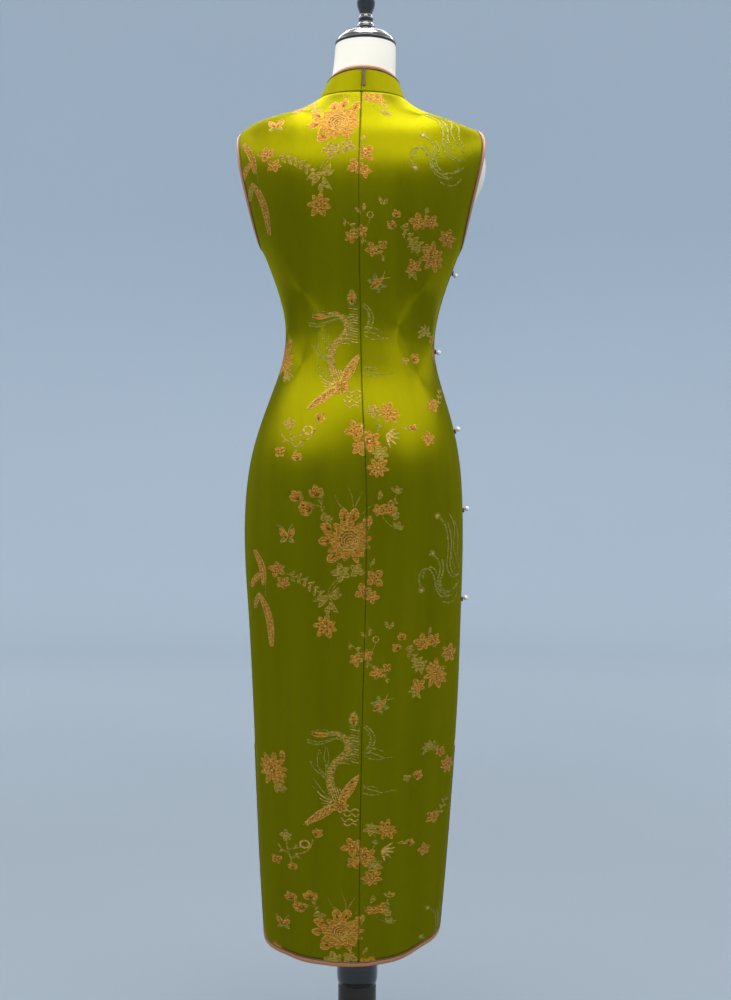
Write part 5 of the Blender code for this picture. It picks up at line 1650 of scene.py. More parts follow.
def brocade_repeat():
    """One repeat: peony, blossoms, butterfly, feathers, sprays and the long-necked bird."""
    c = Chart()
    c.peony(-2.5, 0.0, 3.15)
    for x, y, way, length in (
        (-3.1, 2.6, 96, 1.9), (-1.9, 2.7, 80, 1.8), (-0.3, 2.0, 58, 1.6), (-5.0, 1.4, 150, 1.5),
        (-5.2, -0.2, 182, 1.4), (-4.4, -2.2, 225, 1.3),
    ):
        c.petal(x, y, way, length, 1.2, 1, rim=0.12)
    for line in ([(-3.5, 4.6), (-4.2, 5.6), (-4.5, 6.7)], [(-1.9, 4.6), (-2.0, 6.0), (-2.6, 7.5)],
                 [(-1.6, 4.8), (-1.0, 6.0), (-0.5, 7.0)], [(-0.6, 3.7), (0.3, 4.6), (0.9, 5.0)]):
        c.line(line, 0.20, LEAF, 1, taper=0.7)
    c.spray([(-4.9, 2.2), (-5.6, 3.3), (-6.3, 4.4), (-6.2, 6.0), (-7.0, 6.5)], 0.7)
    c.line([(-6.3, 4.7), (-7.6, 5.0), (-8.8, 5.2)], 0.13, LEAF, 1)
    c.bud(-9.3, 5.6, 1.6, 120)
    c.bud(-6.8, 6.1, 1.7, 100)
    c.bud(-7.6, 4.2, 1.8, 165)
    c.blossom(-8.4, 4.6, 0.8, 4, 30)
    c.blossom(-5.7, 3.2, 0.6, 4, 20, thread=LEAF)
    c.blossom(1.7, 4.2, 0.85, 5, 40)
    c.blossom(3.3, 4.4, 1.05, 5, 75)
    c.leaf(1.7, 5.7, 80, 1.4, 0.6)
    for x, y, ways in ((4.3, 6.6, (50, 92, 135)), (4.2, 1.6, (25, 70, 115)), (3.9, 2.9, (60, 100))):
        for way in ways:
            c.leaf(x, y, way, 1.15, 0.42)
    c.line([(2.2, 3.4), (3.0, 2.4), (4.2, 1.6)], 0.12, LEAF, 1)
    c.line([(3.6, 5.2), (4.0, 6.0), (4.3, 6.6)], 0.12, LEAF, 1)
    # butterfly
    c.petal(-10.8, 0.1, 122, 1.7, 0.75, 1)
    c.petal(-10.6, 0.1, 62, 1.6, 0.7, 1)
    c.petal(-10.8, 0.1, 214, 0.9, 0.45, 1, PLUME)
    c.petal(-10.6, 0.1, 326, 0.9, 0.45, 1, PLUME)
    c.line([(-10.7, 0.4), (-11.3, 1.6), (-12.1, 2.0)], 0.07, PALE, 2)
    c.line([(-10.7, 0.4), (-10.3, 1.8), (-9.9, 2.3)], 0.07, PALE, 2)
    # long feathers at the side
    c.feather([(-15.3, -1.7), (-14.4, -3.3), (-13.9, -5.0), (-13.8, -6.8)], 0.8, stripes=False)
    c.feather([(-15.9, -7.2), (-15.4, -6.2), (-14.5, -5.4), (-14.0, -5.0)], 0.8, stripes=False)
    c.feather([(-14.6, -8.0), (-13.9, -9.2), (-13.4, -10.4), (-12.9, -12.6), (-12.7, -15.8)], 0.8)
    c.feather([(-14.6, -8.2), (-15.0, -9.2), (-15.3, -10.3)], 0.6, stripes=False, thread=LEAF)
    c.line([(-13.7, -5.6), (-13.5, -7.4), (-13.6, -8.6)], 0.09, PLUME, 1)
    # branch below the peony
    c.blossom(-12.0, -4.3, 1.05, 5, 100)
    c.blossom(-11.1, -6.3, 0.9, 5, 60)
    c.spray([(-10.9, -5.0), (-9.6, -5.4), (-8.4, -6.0), (-7.0, -7.2), (-5.6, -8.4)], 0.95, skip=0)
    c.blossom(-3.5, -4.6, 1.25, 5, 110, thread=LEAF)
    c.blossom(-3.5, -4.6, 0.62, 5, 75)
    c.blossom(-1.4, -4.3, 1.05, 4, 60, thread=LEAF)
    for shift in (0.0, 0.5):
        stem = [(-3.9 + shift, -5.6), (-5.0 + shift, -6.9), (-5.4 + shift * 0.6, -8.4)]
        c.line(stem, 0.13, LEAF, 1)
    for x, y, way, long in ((-5.3, -8.2, 12, 2.0), (-5.2, -8.4, 195, 2.1), (-5.0, -8.5, 300, 2.4),
                            (-5.3, -8.6, 225, 1.7), (-4.8, -8.0, 50, 1.5), (-5.1, -9.4, 265, 1.5)):
        c.leaf(x, y, way, long, 0.62)
    c.blossom(-5.6, -12.4, 1.6, 7, 80)
    c.blossom(-5.6, -12.4, 0.8, 5, 50)
    c.blossom(1.2, -5.5, 1.35, 4, 45)
    c.blossom(-0.3, -7.4, 1.1, 4, 20)
    c.blossom(0.9, -8.2, 0.9, 5, 60)
    c.line([(0.3, -3.2), (0.9, -4.3), (1.2, -5.4)], 0.12, LEAF, 1)
    c.leaf(0.6, -3.6, 60, 1.1, 0.4)
    # lower spray
    c.spray([(-2.3, -14.7), (-0.6, -16.3), (1.7, -18.7), (3.8, -20.2)], 0.8, skip=1)
    c.blossom(-1.2, -17.3, 0.95, 5, 70)
    c.blossom(0.3, -16.6, 0.85, 5, 20)
    c.blossom(2.0, -19.1, 0.95, 5, 110)
    c.blossom(3.4, -18.4, 0.6, 4, 45)
    for x, y, way in ((0.6, -13.8, 85), (3.2, -12.8, 110), (3.4, -12.8, 60), (0.2, -14.2, 130)):
        c.leaf(x, y, way, 1.2, 0.4)
    c.ring(1.6, -14.3, 0.42, 0.12, PALE, 1, count=10)
    c.line([(1.6, -14.8), (1.2, -15.8), (0.5, -16.4)], 0.12, LEAF, 1)
    # right spray
    c.bud(5.4, -14.3, 1.0, 110)
    c.bud(4.9, -15.8, 1.1, 140)
    c.leaf(6.0, -15.6, 30, 1.0, 0.4)
    c.spray([(5.8, -15.6), (6.8, -16.6), (8.0, -17.6), (9.2, -18.6)], 0.9, skip=0)
    c.blossom(8.3, -14.8, 1.15, 5, 95)
    c.blossom(10.0, -14.6, 1.0, 5, 60)
    c.leaf(9.1, -13.6, 80, 1.1, 0.4)
    for way in (175, 205, 235, 265):
        c.leaf(8.4, -17.7, way, 1.8, 0.5)
    c.blossom(10.3, -19.5, 1.9, 9, 80)
    c.blossom(10.3, -19.5, 1.05, 6, 50, layer=4)
    c.blossom(7.9, -21.1, 1.0, 5, 120)
    c.blossom(12.4, -16.7, 1.3, 6, 70)
    for way in (190, 240, 290):
        c.leaf(7.7, -21.8, way, 1.3, 0.42)
    c.moth(2.3, -24.0, 2.5, 42)
    bird_with_crest(c)
    trailing_plumes(c)
    # peony at the side, its buds and branches
    c.blossom(-12.4, -34.2, 2.3, 11, 80)
    c.blossom(-12.5, -34.4, 1.5, 8, 60, layer=4)
    c.ring(-12.5, -34.4, 0.6, 0.12, PALE, 7, 0.1, 16, 6)
    c.petal(-11.0, -32.4, 95, 1.3, 0.7, 1)
    for way in (300, 330, 265):
        c.leaf(-11.6, -36.2, way, 1.7, 0.6)
    c.bud(-6.4, -43.9, 1.3, 40)
    c.blossom(-10.3, -44.4, 0.85, 5, 100, thread=LEAF)
    c.ring(-7.7, -45.5, 0.62, 0.24, PALE, 2, count=12)
    c.line([(-10.3, -45.2), (-10.0, -47.0), (-9.4, -48.6)], 0.26, LEAF, 1)
    c.line([(-9.9, -46.6), (-8.6, -46.2), (-7.7, -45.8)], 0.24, LEAF, 1)
    c.line([(-6.6, -44.6), (-7.0, -46.0), (-7.8, -46.9), (-9.0, -47.2)], 0.24, LEAF, 1)
    c.line([(-9.8, -47.4), (-10.9, -46.9), (-11.6, -46.0)], 0.22, LEAF, 1)
    for x, y, way in (
        (-9.0, -46.5, 80), (-8.8, -47.2, 300), (-10.6, -47.0, 210), (-9.6, -48.0, 30)
    ):
        c.leaf(x, y, way, 0.9, 0.26)
    c.bud(-9.2, -49.9, 1.2, 110)
    c.blossom(-11.7, -48.8, 0.8, 4, 40)
    # cluster by the back seam
    c.blossom(1.5, -42.6, 1.0, 6, 20, thread=LEAF)
    c.blossom(3.7, -42.9, 1.45, 8, 70)
    c.blossom(-1.1, -45.5, 1.5, 5, 120)
    c.disc(2.2, -44.9, 0.42, PLUME, 1)
    c.blossom(0.7, -47.2, 1.5, 6, 30)
    c.blossom(0.7, -47.2, 0.8, 5, 70, layer=4)
    for way in (10, 35, -15, -45, -75):
        c.petal(3.1, -46.2, way, 2.0, 0.30, 1, PALE, PLUME, rim=0.07)
    c.bud(6.9, -45.4, 1.0, 60)
    c.leaf(6.6, -45.3, 170, 1.2, 0.36)
    c.blossom(-0.9, -48.2, 1.05, 5, 80)
    c.blossom(2.2, -48.9, 1.15, 6, 45, thread=LEAF)
    c.blossom(1.8, -51.0, 1.4, 8, 80)
    c.line([(2.0, -43.5), (2.3, -44.6), (1.8, -46.0)], 0.12, LEAF, 1)
    # right side
    for way in (20, 62, 98, 132, 168, 205):
        c.leaf(9.9, -30.8, way, 1.5, 0.42, thread=PLUME if way % 4 else LEAF)
    c.blossom(11.6, -31.4, 0.75, 5, 60)
    c.blossom(6.5, -34.9, 0.5, 4, 30, thread=LEAF)
    c.bud(7.7, -34.8, 1.3, 50)
    c.blossom(12.9, -33.6, 1.3, 7, 40)
    c.blossom(10.6, -41.4, 1.0, 5, 70)
    c.spray([(11.0, -41.6), (12.0, -40.4), (12.8, -38.6)], 0.8, skip=0)
    c.blossom(9.4, -46.6, 1.0, 5, 100)
    c.spray([(4.2, -55.0), (3.8, -56.4), (4.4, -58.0)], 0.7, skip=0, thread=PLUME)
    return c


def repeat_tree():
    """Copies one repeat of the brocade over the cloth, and gives each thread its finish."""
    tree, given, out = named_tree(
        "Brocade repeat",
        [("Columns", INTEGER, 3), ("Rows", INTEGER, 3), ("Repeat width", FLOAT, REPEAT_WIDE),
         ("Repeat height", FLOAT, REPEAT_TALL),
         *((f"Thread {k}", MATERIAL, None) for k in range(len(THREADS)))],
    )
    if given:
        wide, tall = (
            maths(tree, "MULTIPLY", maths(tree, "SUBTRACT", given[count], 1.0), given[size])
            for count, size in (("Columns", "Repeat width"), ("Rows", "Repeat height"))
        )
        places = add(tree, "GeometryNodeMeshGrid", Size_X=wide, Size_Y=tall,
                     Vertices_X=given["Columns"], Vertices_Y=given["Rows"]).outputs[0]
        copies = add(tree, "GeometryNodeInstanceOnPoints", Points=places,
                     Instance=given["Geometry"]).outputs[0]
        made = add(tree, "GeometryNodeRealizeInstances", Geometry=copies).outputs[0]
        thread = add(tree, "GeometryNodeInputNamedAttribute", {"data_type": "INT"},
                     Name="thread").outputs[0]
        for k in range(len(THREADS)):
            same = add(tree, "FunctionNodeCompare", {"data_type": "INT", "operation": "EQUAL"})
            tree.links.new(thread, same.inputs[2])
            same.inputs[3].default_value = k
            made = add(tree, "GeometryNodeSetMaterial", Geometry=made, Selection=same.outputs[0],
                       Material=given[f"Thread {k}"]).outputs[0]
        tree.links.new(made, out["Geometry"])
    return tree


def repeated_chart():
    """(points, faces, finish of each face) of the brocade over more than the whole cloth."""
    chart = brocade_repeat()
    mesh = bpy.data.meshes.new("repeat")
    mesh.from_pydata(chart.points, [], chart.faces)
    layer = mesh.attributes.new("thread", "INT", "FACE")
    layer.data.foreach_set("value", chart.threads)
    finishes = {f"thread_{k}": finish(label) for k, label in enumerate(THREADS)}
    whole = result_of(placed("repeat", mesh), "brocade_flat", repeat_tree(), **finishes)
    order = [THREADS.index(slot.name) if slot else None for slot in whole.data.materials]
    points = np.empty(len(whole.data.vertices) * 3)
    whole.data.vertices.foreach_get("co", points)
    faces = [tuple(face.vertices) for face in whole.data.polygons]
    threads = [order[face.material_index] for face in whole.data.polygons]
    bpy.data.objects.remove(whole)
    return points.reshape(-1, 3), faces, threads


FRONT_SHIFT = (9.0, 20.0)  # how far the front's repeat is moved over and up
NECK_DRIFT, NECK_DRIFT_Y = 0.7, (52, 61)  # how far it drifts at the back of the neck, and where
SIDE_SPREAD = 0.0007  # how much wider it grows towards the sides, by the cube of the way


def laid_on_cloth(points, facing):
    """The chart's points, as (u, v, layer) on the back or the front."""
    x, y, layer = points.T
    if facing == FRONT:
        x, y = x + FRONT_SHIFT[0], y + FRONT_SHIFT[1]
    low, high = NECK_DRIFT_Y
    x = x - NECK_DRIFT * np.clip((y - low) / (high - low), 0, 1)
    u = x + SIDE_SPREAD * np.clip(x, -REPEAT_WIDE / 2, REPEAT_WIDE / 2) ** 3
    middle = math.pi / 2 if facing == BACK else 1.5 * math.pi
    levels = CLOTH_MAPS[facing].levels
    heights = dress_points(np.full(len(levels), middle), levels)[:, 2]
    top = np.interp(TOP_PEONY_Z, heights, levels)
    rise = CLOTH_MAPS[facing].flat(middle, top)[1] * 100 / REPEAT_TALL
    low = np.clip(y, -REPEAT_TALL, 0)
    drawn = low * (1 - (1 + HEM_PEONY_Y / REPEAT_TALL) * np.abs(low / REPEAT_TALL) ** 3)
    v = np.where(y > 0, y * rise, drawn + (y - low) * 0.85)
    return np.stack([u / 100, v / 100, layer], axis=-1)


Panel = namedtuple("Panel", "facing low_u high_u low_v start end")
HIGH_V = 0.74
PANELS = {  # the stretch of the chart that each panel may need, and the angles between its seams
    "back_left": Panel(BACK, -0.27, 0.02, -0.66, 0.0, 9.0),
    "back_right": Panel(BACK, -0.02, 0.27, -0.66, 0.0, math.pi),
    "front_main": Panel(FRONT, -0.27, 0.27, -0.66, math.pi, math.tau),
    "front_right": Panel(FRONT, -0.27, 0.02, 0.30, math.pi, 1.5 * math.pi),
}
SIDE_GAP = 0.002  # radians between the brocade and a side seam
FIRST_LIFT, LAYER_LIFT = 0.10 * MM, 0.032 * MM  # of the threads over the ground


def inside_edges(panel, angle, level):
    """Whether places lie on a panel, within a little of its bound edges."""
    near = 1.6 * MM
    facing = PANELS[panel].facing
    ok = (level < BODY.top - near) & (level > hem_level(angle) + near)
    for side, line in ((LEFT, 0.0 if facing == BACK else math.tau), (RIGHT, math.pi)):
        off = np.abs(angle - line)
        low, high = BODY.level(ARMPIT_Z), BODY.level(TIP_Z[side])
        tall, wide = (high - low) / 2 + near, ARMHOLE_REACH[side, facing] + near
        reach = off * BODY.column["half_width"](level)
        ok &= ((level - (low + high) / 2) / tall) ** 2 + (reach / wide) ** 2 > 1
        in_slit = level < BODY.level(SLIT_TOP_Z) - near
        ok &= ~in_slit | (off > slit_offset(level) + turn(near, level))
    if facing == FRONT:
        share = np.clip((1.5 * math.pi - angle) / (math.pi / 2), 0, 1)
        _, line = placket(share)
        over = np.where(share > 0, level - line, -1.0)
        ok &= over < EDGE - near if panel == "front_main" else over > EDGE
    return ok


def brocade_piece(panel, chart):
    """The brocade's threads on one panel, cut at its seams and edges and laid on its cloth."""
    flat, faces, threads = chart
    part = PANELS[panel]
    laid = laid_on_cloth(flat, part.facing)
    u, v, _ = laid.T
    keep = (u > part.low_u) & (u < part.high_u) & (v > part.low_v) & (v < HIGH_V)
    mesh = bmesh.new()
    corners = {}
    for face, thread in zip(faces, threads):
        if keep[list(face)].all():
            ring = []
            for i in face:
                if i not in corners:
                    corners[i] = mesh.verts.new(tuple(laid[i]))
                ring.append(corners[i])
            mesh.faces.new(ring).material_index = thread

    def cut(place, way):
        geometry = list(mesh.verts) + list(mesh.edges) + list(mesh.faces)
        bmesh.ops.bisect_plane(
            mesh, geom=geometry, dist=1e-6, plane_co=place, plane_no=way, clear_outer=True
        )

    if panel == "back_left":
        cut((-SEAM, 0, 0), (1, 0, 0))
    elif panel == "back_right":
        cut((SEAM, 0, 0), (-1, 0, 0))
    uv = mesh.verts.layers.float_vector.new("flat")
    mesh.verts.ensure_lookup_table()
    place = np.array([v.co for v in mesh.verts])
    angle, level = CLOTH_MAPS[part.facing].worn(place[:, 0], place[:, 1])
    for vert, a, l in zip(mesh.verts, angle, level):
        vert[uv] = vert.co
        vert.co = a, l, vert.co.z
    cut((part.start + SIDE_GAP, 0, 0), (-1, 0, 0))
    cut((part.end - SIDE_GAP, 0, 0), (1, 0, 0))
    place = np.array([v.co for v in mesh.verts])
    mesh.verts.index_update()
    good = inside_edges(panel, place[:, 0], place[:, 1])
    bad = [f for f in mesh.faces if not all(good[v.index] for v in f.verts)]
    bmesh.ops.delete(mesh, geom=bad, context="FACES")
    mesh.verts.index_update()
    place = np.array([v.co for v in mesh.verts])
    laid = np.array([v[uv] for v in mesh.verts])[:, :2]
    lift = FIRST_LIFT + LAYER_LIFT * place[:, 2]
    points = cloth_points(place[:, 0], place[:, 1], lift)
    faces = [[v.index for v in f.verts] for f in mesh.faces]
    marks = [f.material_index for f in mesh.faces]
    mesh.free()
    return new_piece(f"{panel}_brocade", points, faces, *THREADS, uv=laid, face_finish=marks)


# ---------------------------------------------------------------- zip, frogs, form and stand


def zip_frame():
    """Where the slider lies: its middle on the collar's face, the way out of the cloth, and up."""
    height = 1.0 - SLIDER_BELOW_TOP / COLLAR_HEIGHT
    angle = collar_back_offset(LEFT, height, 0.0)
    here = Vector(collar_face(angle, height))
    up = Vector(collar_face(angle, 1.0)) - here
    up.x = 0.0
    up.normalize()
    return here, up.cross(Vector((1, 0, 0))), up


def plate(mesh, outline, hole, origin, across, up, out, thick):
    """A flat plate of metal with an outline and, if there is one, a hole of as many corners."""
    skins = []
    for shift in (-thick / 2, thick / 2):
        skins.append([
            [mesh.verts.new(origin + across * x + up * y + out * shift) for x, y in shape]
            for shape in (outline, hole) if shape
        ])
    for skin in skins:
        if hole:
            count = len(outline)
            for k in range(count):
                m = (k + 1) % count
                mesh.faces.new((skin[0][k], skin[0][m], skin[1][m], skin[1][k]))
        else:
            mesh.faces.new(skin[0])
    for a, b in zip(*skins):
        for k in range(len(a)):
            m = (k + 1) % len(a)
            mesh.faces.new((a[k], a[m], b[m], b[k]))


def mesh_piece(name, mesh, label, bevel=0.0):
    bmesh.ops.recalc_face_normals(mesh, faces=mesh.faces)
    data = bpy.data.meshes.new(name)
    mesh.to_mesh(data)
    mesh.free()
    data.materials.append(finish(label))
    data.shade_smooth()
    data.set_sharp_from_angle(angle=math.radians(50))
    piece = placed(name, data)
    if bevel:
        edge = piece.modifiers.new("worn edges", "BEVEL")
        edge.width, edge.segments, edge.limit_method = bevel, 2, "ANGLE"
        edge.harden_normals = True
    return piece


def mirrored(right):
    """A closed outline from its right half, which runs from its top to its bottom."""
    left = [(-x, y) for x, y in reversed(right)]
    return left[-2:] + right + left[:-2]


BRIDGE_STEPS, BRIDGE_SIDES = 20, 12  # of the slider's wire


def slider_piece():
    """The slider: two plates on a neck, with the wire bridge that holds the tab."""
    here, out, up = zip_frame()
    across = Vector((1, 0, 0))
    mesh = bmesh.new()
    half, tall = SLIDER.x / 2, SLIDER.z / 2
    shield = mirrored([
        (half - 1.0 * MM, tall), (half, tall - 1.2 * MM), (half * 0.92, -tall * 0.2),
        (half * 0.62, -tall + 0.6 * MM), (half * 0.40, -tall),
    ])
    for share in (0.175, 0.825):
        middle = here + out * (SLIDER_SEAT + SLIDER.y * share)
        plate(mesh, shield, None, middle, across, up, out, SLIDER.y * 0.35)
    neck = [(x * 0.42, y * 0.62) for x, y in shield]
    middle = here + out * (SLIDER_SEAT + SLIDER.y / 2)
    plate(mesh, neck, None, middle, across, up, out, SLIDER.y * 0.5)
    foot = here + out * (SLIDER_SEAT + SLIDER.y - 0.3 * MM)
    rings = []
    for step in range(BRIDGE_STEPS + 1):
        bend = math.pi * step / BRIDGE_STEPS
        way = up * math.cos(bend) + out * math.sin(bend)
        ring = []
        for k in range(BRIDGE_SIDES):
            twist = math.tau * k / BRIDGE_SIDES
            wire = (way * math.cos(twist) + across * math.sin(twist)) * BRIDGE_WIRE
            ring.append(mesh.verts.new(foot + way * BRIDGE_RADIUS + wire))
        rings.append(ring)
    for a, b in zip(rings, rings[1:]):
        for k in range(BRIDGE_SIDES):
            m = (k + 1) % BRIDGE_SIDES
            mesh.faces.new((a[k], a[m], b[m], b[k]))
    mesh.faces.new(rings[0])
    mesh.faces.new(rings[-1])
    return mesh_piece("zip_slider_detailed", mesh, "worn brass", 0.15 * MM)


def tab_piece():
    """The pull tab, with its eye round the bridge, a waist and a rounded end."""
    here, out, up = zip_frame()
    hinge = here + out * (SLIDER_SEAT + SLIDER.y + TAB_AXIS_OUT)
    rise = (hinge - here).dot(out) - TAB_THICK / 2 - TAB_TIP_CLEAR - BINDING_PROUD
    lean = math.asin(rise / TAB_LENGTH)
    down = (-up * math.cos(lean) - out * math.sin(lean)).normalized()
    across = Vector((1, 0, 0))
    thick_way = across.cross(down).normalized()
    rod, half, eye = TAB_THICK / 2, TAB_WIDTH / 2, TAB_EYE_WIDTH / 2
    waist, shoulder = 0.82 * half, TAB_EYE_LENGTH + 2.0 * MM
    tip, last = half - TAB_CORNER, TAB_LENGTH - TAB_CORNER
    outline = mirrored([
        (half - 0.5 * MM, -rod), (half, -rod * 0.4), (half, shoulder * 0.8), (waist, shoulder),
        (waist, last - 4 * MM), (half, last - 2 * MM), (half, last),
        (half - 0.5 * MM, TAB_LENGTH - 0.5 * MM), (tip, TAB_LENGTH),
    ])
    bow = ((0.9, 0.88), (0.75, 0.94), (0.55, 0.98), (0.35, 1.0), (0.2, 1.0), (0.08, 1.0))
    hole = mirrored(
        [(eye - 0.4 * MM, rod), (eye, rod * 1.6), (eye, TAB_EYE_LENGTH * 0.8)]
        + [(eye * a, TAB_EYE_LENGTH * b) for a, b in bow]
    )
    mesh = bmesh.new()
    plate(mesh, outline, hole, hinge, across, down, thick_way, TAB_THICK)
    return mesh_piece("zip_tab_detailed", mesh, "worn brass", 0.12 * MM)


def zip_tape_piece():
    level = np.linspace(BODY.level(ZIP_END_Z), BODY.top, 190)[:, None]
    share = np.linspace(-0.5, 0.5, 5)[None, :]
    angle = seam_offset(LEFT, level, 0.0) + turn_back(ZIP_WIDTH * share, level)
    points = cloth_points(angle, level, -(CLOTH + ZIP_BEHIND))
    uv = np.stack(np.broadcast_arrays(share * ZIP_WIDTH, level), axis=-1)
    piece = new_piece("zip_tape_woven", points, grid_faces(*angle.shape), "zip tape", uv=uv)
    return thickened(piece, ZIP_BEHIND)


def turn_back(length, level):
    """The angle that a short length beside the back seam takes up at this level."""
    return length / BODY.column["back_depth"](level)


def zip_coil_piece():
    level = np.linspace(BODY.level(ZIP_END_Z) + 4 * MM, BODY.top - 2 * MM, 260)
    angle = seam_offset(LEFT, level, 0.0)
    points = cloth_points(angle, level, -CLOTH + 0.1 * MM)
    line = line_object("coil", points, cloth_out=normals(dress_points, angle, level))
    return result_of(line, "zip_coil", coil_tree(), finish=finish("zip coil"))


def surface_frame(angle, level):
    here = Vector(dress_points(angle, level))
    out = Vector(normals(dress_points, np.array(angle), np.array(level)))
    up = (Vector((0, 0, 1)) - out * out.z).normalized()
    return here, out, up


CORD_STEPS, CORD_SIDES = 40, 14  # of a frog's loop


def wrapped(face, steps, sides):
    """Map places of a face's corners on a closed tube, with the last ones at its joins as 1."""
    rows, columns = np.array(face) // sides, np.array(face) % sides
    rows = np.where((rows == 0) & (rows.max() == steps - 1), steps, rows)
    columns = np.where((columns == 0) & (columns.max() == sides - 1), sides, columns)
    return [(r / steps, c / sides) for r, c in zip(rows, columns)]


def frog_pieces(index, angle, level, ball_shift):
    """A loop of silk cord lying on the cloth, and the pale ball that it holds."""
    here, out, up = surface_frame(angle, level)
    axes = Matrix((up.cross(out), up, out)).transposed().to_4x4()
    seat = here + out * (PIPING_PROUD + 2 * SEAM + FROG_CORD)
    place = Matrix.Translation(seat) @ axes
    swing = np.arange(CORD_STEPS) / CORD_STEPS * math.tau
    twist = np.arange(CORD_SIDES) / CORD_SIDES * math.tau
    reach = FROG_LOOP + FROG_CORD * np.cos(twist)[None, :]
    rise = np.broadcast_to(FROG_CORD * np.sin(twist)[None, :], (CORD_STEPS, CORD_SIDES))
    points = np.stack(
        [reach * np.cos(swing)[:, None], reach * np.sin(swing)[:, None], rise], axis=-1
    ).reshape(-1, 3)
    turned_way = np.array(place)
    points = points @ turned_way[:3, :3].T + turned_way[:3, 3]
    faces = grid_faces(CORD_STEPS, CORD_SIDES, wrap_rows=True, wrap_columns=True)
    uv = [corner for face in faces for corner in wrapped(face, CORD_STEPS, CORD_SIDES)]
    loop = new_piece(f"frog_cord_{index}", points, faces, "silk cord", uv=uv)
    outward(loop)
    shift = ball_shift * MM
    lift = math.sqrt((FROG_BALL + FROG_CORD + SEAM) ** 2 - (FROG_LOOP - abs(shift)) ** 2)
    ball = bmesh.new()
    bmesh.ops.create_uvsphere(ball, u_segments=32, v_segments=20, radius=FROG_BALL)
    bmesh.ops.transform(
        ball, matrix=Matrix.Translation(seat + up * shift + out * lift) @ axes, verts=ball.verts
    )
    button = mesh_piece(f"frog_button_{index}", ball, "pearl button")
    dressed(loop, "frog_cord", f"frog_loop_{index}")
    dressed(button, "frog_ball", f"frog_ball_{index}")


def frog_places():
    edge = SEAM + PIPING / 2
    places = [(math.pi + turn(edge, level), level) for level in map(BODY.level, FROG_SIDE_Z)]
    share = np.linspace(0.0, 1.0, 11)
    angle, level = placket(share, BINDING / 2)
    column = round(FROG_PLACKET_SHARE * 10)
    return places + [(angle[0], BODY.top - FROG_NECK_DROP), (angle[column], level[column])]


def form_points(angle, level):
    """The form's face under the dress: the dress's surface, let in by the cloth and a clearance,
    and hollowed inside each armhole."""
    points, normal = dress_points(angle, level), normals(dress_points, angle, level)
    above_tip = np.clip((level - BODY.level(SHOULDER_REST_Z)) / SHOULDER_REST_FADE, 0, 1)
    below_neck = np.clip((BODY.top - level) / SHOULDER_REST_FADE, 0, 1)
    beside_neck = np.clip(4 * np.abs(np.cos(angle)) - 2.4, 0, 1)
    carried = above_tip * below_neck * beside_neck
    clear = FORM_CLEAR + (FORM_TOUCH - FORM_CLEAR) * carried
    plate_z = np.where(np.cos(angle) > 0, ARM_PLATE_Z[LEFT], ARM_PLATE_Z[RIGHT])
    off_z = (points[..., 2] - plate_z) / ARM_PLATE_SPREAD_Z
    off_side = np.arcsin(np.clip(np.sin(angle), -1, 1)) / ARM_PLATE_SPREAD_TURN
    deep = np.where(np.cos(angle) > 0, ARM_PLATE_HOLLOW[LEFT], ARM_PLATE_HOLLOW[RIGHT])
    hollow = deep * np.exp(-(off_z**2) - off_side**2)
    return points - normal * (CLOTH + clear + hollow)[..., None]


FORM_SIDES, FORM_ROWS, NECK_ROWS = 120, 170, 24
NECK_KNOTS = np.array([0.0, 0.02, 0.045, 0.075])  # of the neck's rings, along its face


def form_piece():
    """The limbless form, smooth and whole from under the seat to the top of its neck."""
    angle = np.arange(FORM_SIDES) * math.tau / FORM_SIDES
    level = np.linspace(BODY.level(FORM_BOTTOM_Z), BODY.top, FORM_ROWS)[:, None]
    body = form_points(angle[None, :], level)
    table = np.array([ring_points(ring._asdict(), angle) for ring in NECK_RINGS])
    at = np.linspace(NECK_KNOTS[0], NECK_KNOTS[-1], NECK_ROWS)
    columns = [smooth_through(NECK_KNOTS, c)(at) for c in table.reshape(len(NECK_KNOTS), -1).T]
    neck = np.stack(columns, axis=-1).reshape(NECK_ROWS, FORM_SIDES, 3)
    points = np.concatenate([body, neck])
    rows = len(points)
    faces = grid_faces(rows, FORM_SIDES, wrap_columns=True)
    top = (rows - 1) * FORM_SIDES
    faces += [list(range(FORM_SIDES))[::-1], list(range(top, top + FORM_SIDES))]
    piece = new_piece("form_cover", points, faces, "white form cover")
    outward(piece)
    piece.data.set_sharp_from_angle(angle=math.radians(50))
    return piece


def eased(profile, radius, steps=5):
    """A turned profile with each of its corners rounded over."""
    points = [np.array(p) for p in profile]
    done = [points[0]]
    for a, b, c in zip(points, points[1:], points[2:]):
        reach = min(radius, np.linalg.norm(b - a) * 0.45, np.linalg.norm(c - b) * 0.45)
        start = b + (a - b) / np.linalg.norm(a - b) * reach
        end = b + (c - b) / np.linalg.norm(c - b) * reach
        for share in np.linspace(0, 1, steps):
            done.append(start * (1 - share) ** 2 + b * 2 * share * (1 - share) + end * share**2)
    return np.array(done + [points[-1]])


def spun(reach, height, steps):
    """Places round the stand's axis: a ring of them for each reach and height."""
    swing = np.arange(steps) / steps * math.tau
    r, z = reach[:, None], np.broadcast_to(height[:, None], (len(height), steps))
    return np.stack([r * np.cos(swing), r * np.sin(swing), z], axis=-1)


def turned(name, profile, *labels, radius, steps, band=None):
    """A turned piece: its eased profile spun round the stand's axis."""
    line = eased(profile, radius)
    points = spun(line[:, 0], line[:, 1], steps)
    faces = grid_faces(len(line), steps, wrap_columns=True)
    marks = None
    if band:
        heights = points.reshape(-1, 3)[:, 2]
        marks = [int(band[0] < heights[f].mean() < band[1]) for f in map(list, faces)]
    piece = new_piece(name, points, faces, *labels, face_finish=marks)
    outward(piece)
    piece.data.set_sharp_from_angle(angle=math.radians(50))
    return piece


# ---------------------------------------------------------------- settings


